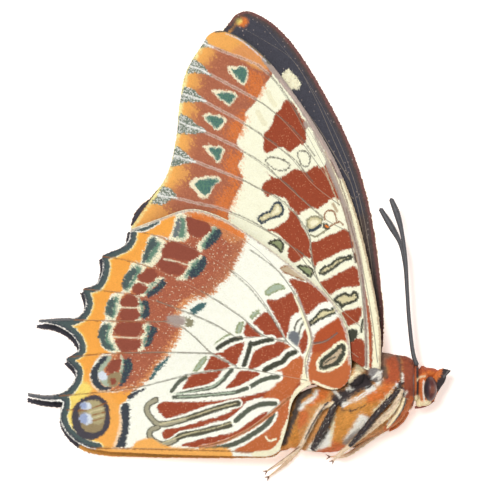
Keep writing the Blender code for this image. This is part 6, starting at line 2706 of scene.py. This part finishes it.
    def add_claws(self, piece: Piece, path: Points) -> None:
        """Adds two hooked claws at the end of a foot, one to each side.

        A claw's path is a quarter turn downwards from the foot's direction, spread to one side.

        Args:
            piece: The piece that takes them.
            path: The foot's path, in pixels and levels.
        """
        end, before = (np.array((*plan((point,))[0], point[2])) for point in (path[-1], path[-2]))
        ahead = (end - before) / np.linalg.norm(end - before)
        side = np.cross((0.0, 0.0, 1.0), ahead)
        side /= np.linalg.norm(side)
        for way in (-1.0, 1.0):
            t = np.linspace(0.0, 1.0, CLAW_RINGS)[:, None]
            line = end - 0.15 * ahead + self.claw_length * (
                ahead * np.sin(t * 1.4) * 0.6 + side * way * t * 0.42
                - np.array((0.0, 0.0, 1.0)) * (1.0 - np.cos(t * 1.4)) * 0.35)
            line[:, 2] = np.maximum(line[:, 2], 0.1)
            tangent = np.gradient(line, axis=0)
            tangent /= np.linalg.norm(tangent, axis=1)[:, None]
            left = np.cross((0.0, 0.0, 1.0), tangent)
            left /= np.linalg.norm(left, axis=1)[:, None]
            up = np.cross(tangent, left)
            angles = np.arange(CLAW_SIDES) * math.tau / CLAW_SIDES
            radius = np.linspace(0.11, 0.015, CLAW_RINGS)[:, None, None]
            ring = (left[:, None] * np.cos(angles)[None, :, None]
                    + up[:, None] * np.sin(angles)[None, :, None])
            points = (line[:, None] + ring * radius).reshape(-1, 3)
            patches = np.column_stack((np.repeat(t[:, 0], CLAW_SIDES),
                                       np.tile(angles / math.tau, CLAW_RINGS)))
            colours = np.tile(Tint.CLAW_BROWN.linear, (len(points), 1))
            piece.add(points, tube_faces(CLAW_RINGS, CLAW_SIDES), colours, patches)


class Body:
    """All but the wings."""

    def build(self) -> None:
        """Builds the trunk, the head, the feelers and the legs."""
        Trunk().build()
        Head().build()
        Feelers().build()
        Legs().build()


@dataclass(frozen=True)
class Studio:
    """A white floor, soft light from the upper left and a camera that looks straight down.

    Attributes:
        centre_pixel: The picture's middle.
        focus: The height over the floor at which the picture's scale is exact, in millimetres.
        lens: The focal length, in millimetres.
        sensor: The sensor's longer side, in millimetres.
        floor: The floor's width, in metres.
        sky: The strength of the even light from all round.
        key: The power of the large soft light, in watts.
        key_place: Where it stands, in metres.
        key_size: Its width, in metres.
        glow: How bright the floor is by itself, as a lit table is, which keeps shadows faint.
    """

    centre_pixel: tuple[float, float] = (245.0, 250.0)
    focus: float = 3.5
    lens: float = 600.0
    sensor: float = 36.0
    floor: float = 3.0
    sky: float = 0.46
    key: float = 5.8
    key_place: tuple[float, float, float] = (-0.16, 0.17, 0.9)
    key_size: float = 0.24
    glow: float = 0.5

    def build(self) -> None:
        """Builds the floor, the lights and the camera."""
        scene = bpy.context.scene
        scene.view_settings.view_transform = "Standard"
        self.build_floor()
        world = bpy.data.worlds.new("studio_sky")
        world.use_nodes = True
        world.node_tree.nodes["Background"].inputs["Color"].default_value = (1.0, 0.99, 0.98, 1.0)
        world.node_tree.nodes["Background"].inputs["Strength"].default_value = self.sky
        scene.world = world
        light = bpy.data.lights.new("key_light", "AREA")
        light.shape = "DISK"
        light.size = self.key_size
        light.energy = self.key
        light.color = (1.0, 0.985, 0.96)
        lamp = bpy.data.objects.new("key_light", light)
        lamp.location = self.key_place
        lamp.rotation_euler = (-Vector(self.key_place)).to_track_quat("-Z", "Y").to_euler()
        scene.collection.objects.link(lamp)
        self.build_camera()

    def build_floor(self) -> None:
        """Builds the floor as a flat square at the lowest level."""
        half = self.floor / 2.0
        mesh = bpy.data.meshes.new("floor")
        corners = ((-half, -half, 0.0), (half, -half, 0.0), (half, half, 0.0), (-half, half, 0.0))
        mesh.from_pydata(corners, [], [(0, 1, 2, 3)])
        material = bpy.data.materials.new("floor_paper")
        material.use_nodes = True
        shader = material.node_tree.nodes["Principled BSDF"]
        shader.inputs["Base Color"].default_value = (1.0, 0.985, 0.975, 1.0)
        shader.inputs["Roughness"].default_value = 0.9
        shader.inputs["Specular IOR Level"].default_value = 0.1
        shader.inputs["Emission Color"].default_value = (1.0, 0.80, 0.70, 1.0)
        shader.inputs["Emission Strength"].default_value = self.glow
        mesh.materials.append(material)
        item = bpy.data.objects.new("floor", mesh)
        bpy.context.scene.collection.objects.link(item)

    def build_camera(self) -> None:
        """Builds the camera at the distance where the picture's pixels have their real size.

        The distance is the picture's height times the focal length over the sensor's side.
        """
        x, y = plan((self.centre_pixel,))[0] * MILLIMETRE
        distance = PICTURE_SIZE[1] * PIXEL * MILLIMETRE * self.lens / self.sensor
        camera = bpy.data.cameras.new("camera")
        camera.lens = self.lens
        camera.sensor_width = self.sensor
        camera.clip_end = 10.0
        item = bpy.data.objects.new("camera", camera)
        item.location = (x, y, distance + self.focus * MILLIMETRE)
        bpy.context.scene.collection.objects.link(item)
        bpy.context.scene.camera = item


def build_wings() -> None:
    """Builds the four closed wings: the left pair below and the right pair above."""
    stay = Turn()
    forewing = closed_outline(FOREWING_RUNS, 1.0)
    hindwing = closed_outline(HINDWING_RUNS, 1.0)
    hindwings = (hindwing, LEFT_HINDWING.apply(hindwing))

    def left_forewing_level(flat: Array) -> Array:
        """The level over the left hindwing, sinking to the floor beyond it."""
        return FLOOR_SHEET + PITCH * hindwing_cover(flat, hindwings)

    fine, coarse = ((0.118, 0.21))
    wings = (
        Wing("hindwing_left", "hindwing", HINDWING_RUNS, HINDWING_VEINS, LEFT_HINDWING,
             lambda flat: np.full(len(flat), FLOOR_SHEET),
             (Face("upper", 1, HindwingUpper(), coarse, (hindwing, forewing)),
              Face("lower", -1, HindwingUnderside(), coarse * 1.25)), (1, 2, 3, 4, 5, 6, 7, 8)),
        Wing("forewing_left", "forewing", LEFT_FOREWING_RUNS, FOREWING_VEINS, LEFT_FOREWING,
             left_forewing_level,
             (Face("upper", 1, ForewingUpper(), fine * 1.15, (forewing, hindwing)),
              Face("lower", -1, ForewingUnderside(), coarse * 1.25, (hindwings[1],))), (1,)),
        Wing("forewing_right", "forewing", FOREWING_RUNS, FOREWING_VEINS, stay,
             lambda flat: left_forewing_level(flat) + PITCH + body_lift(flat, False),
             (Face("lower", 1, ForewingUnderside(), fine, (hindwing,)),
              Face("upper", -1, ForewingUpper())), (1,)),
        Wing("hindwing_right", "hindwing", HINDWING_RUNS, HINDWING_VEINS, stay,
             lambda flat: FLOOR_SHEET + 3.0 * PITCH + body_lift(flat, True),
             (Face("lower", 1, HindwingUnderside(), fine),
              Face("upper", -1, HindwingUpper())), (1, 2, 3, 4, 5, 6, 7, 8)),
    )
    for wing in wings:
        wing.build()


def main() -> None:
    """Loads the frame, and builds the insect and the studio."""
    logging.basicConfig(level=logging.INFO, format="%(name)s: %(message)s")
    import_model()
    build_wings()
    Body().build()
    Studio().build()


if __name__ == "__main__":
    main()
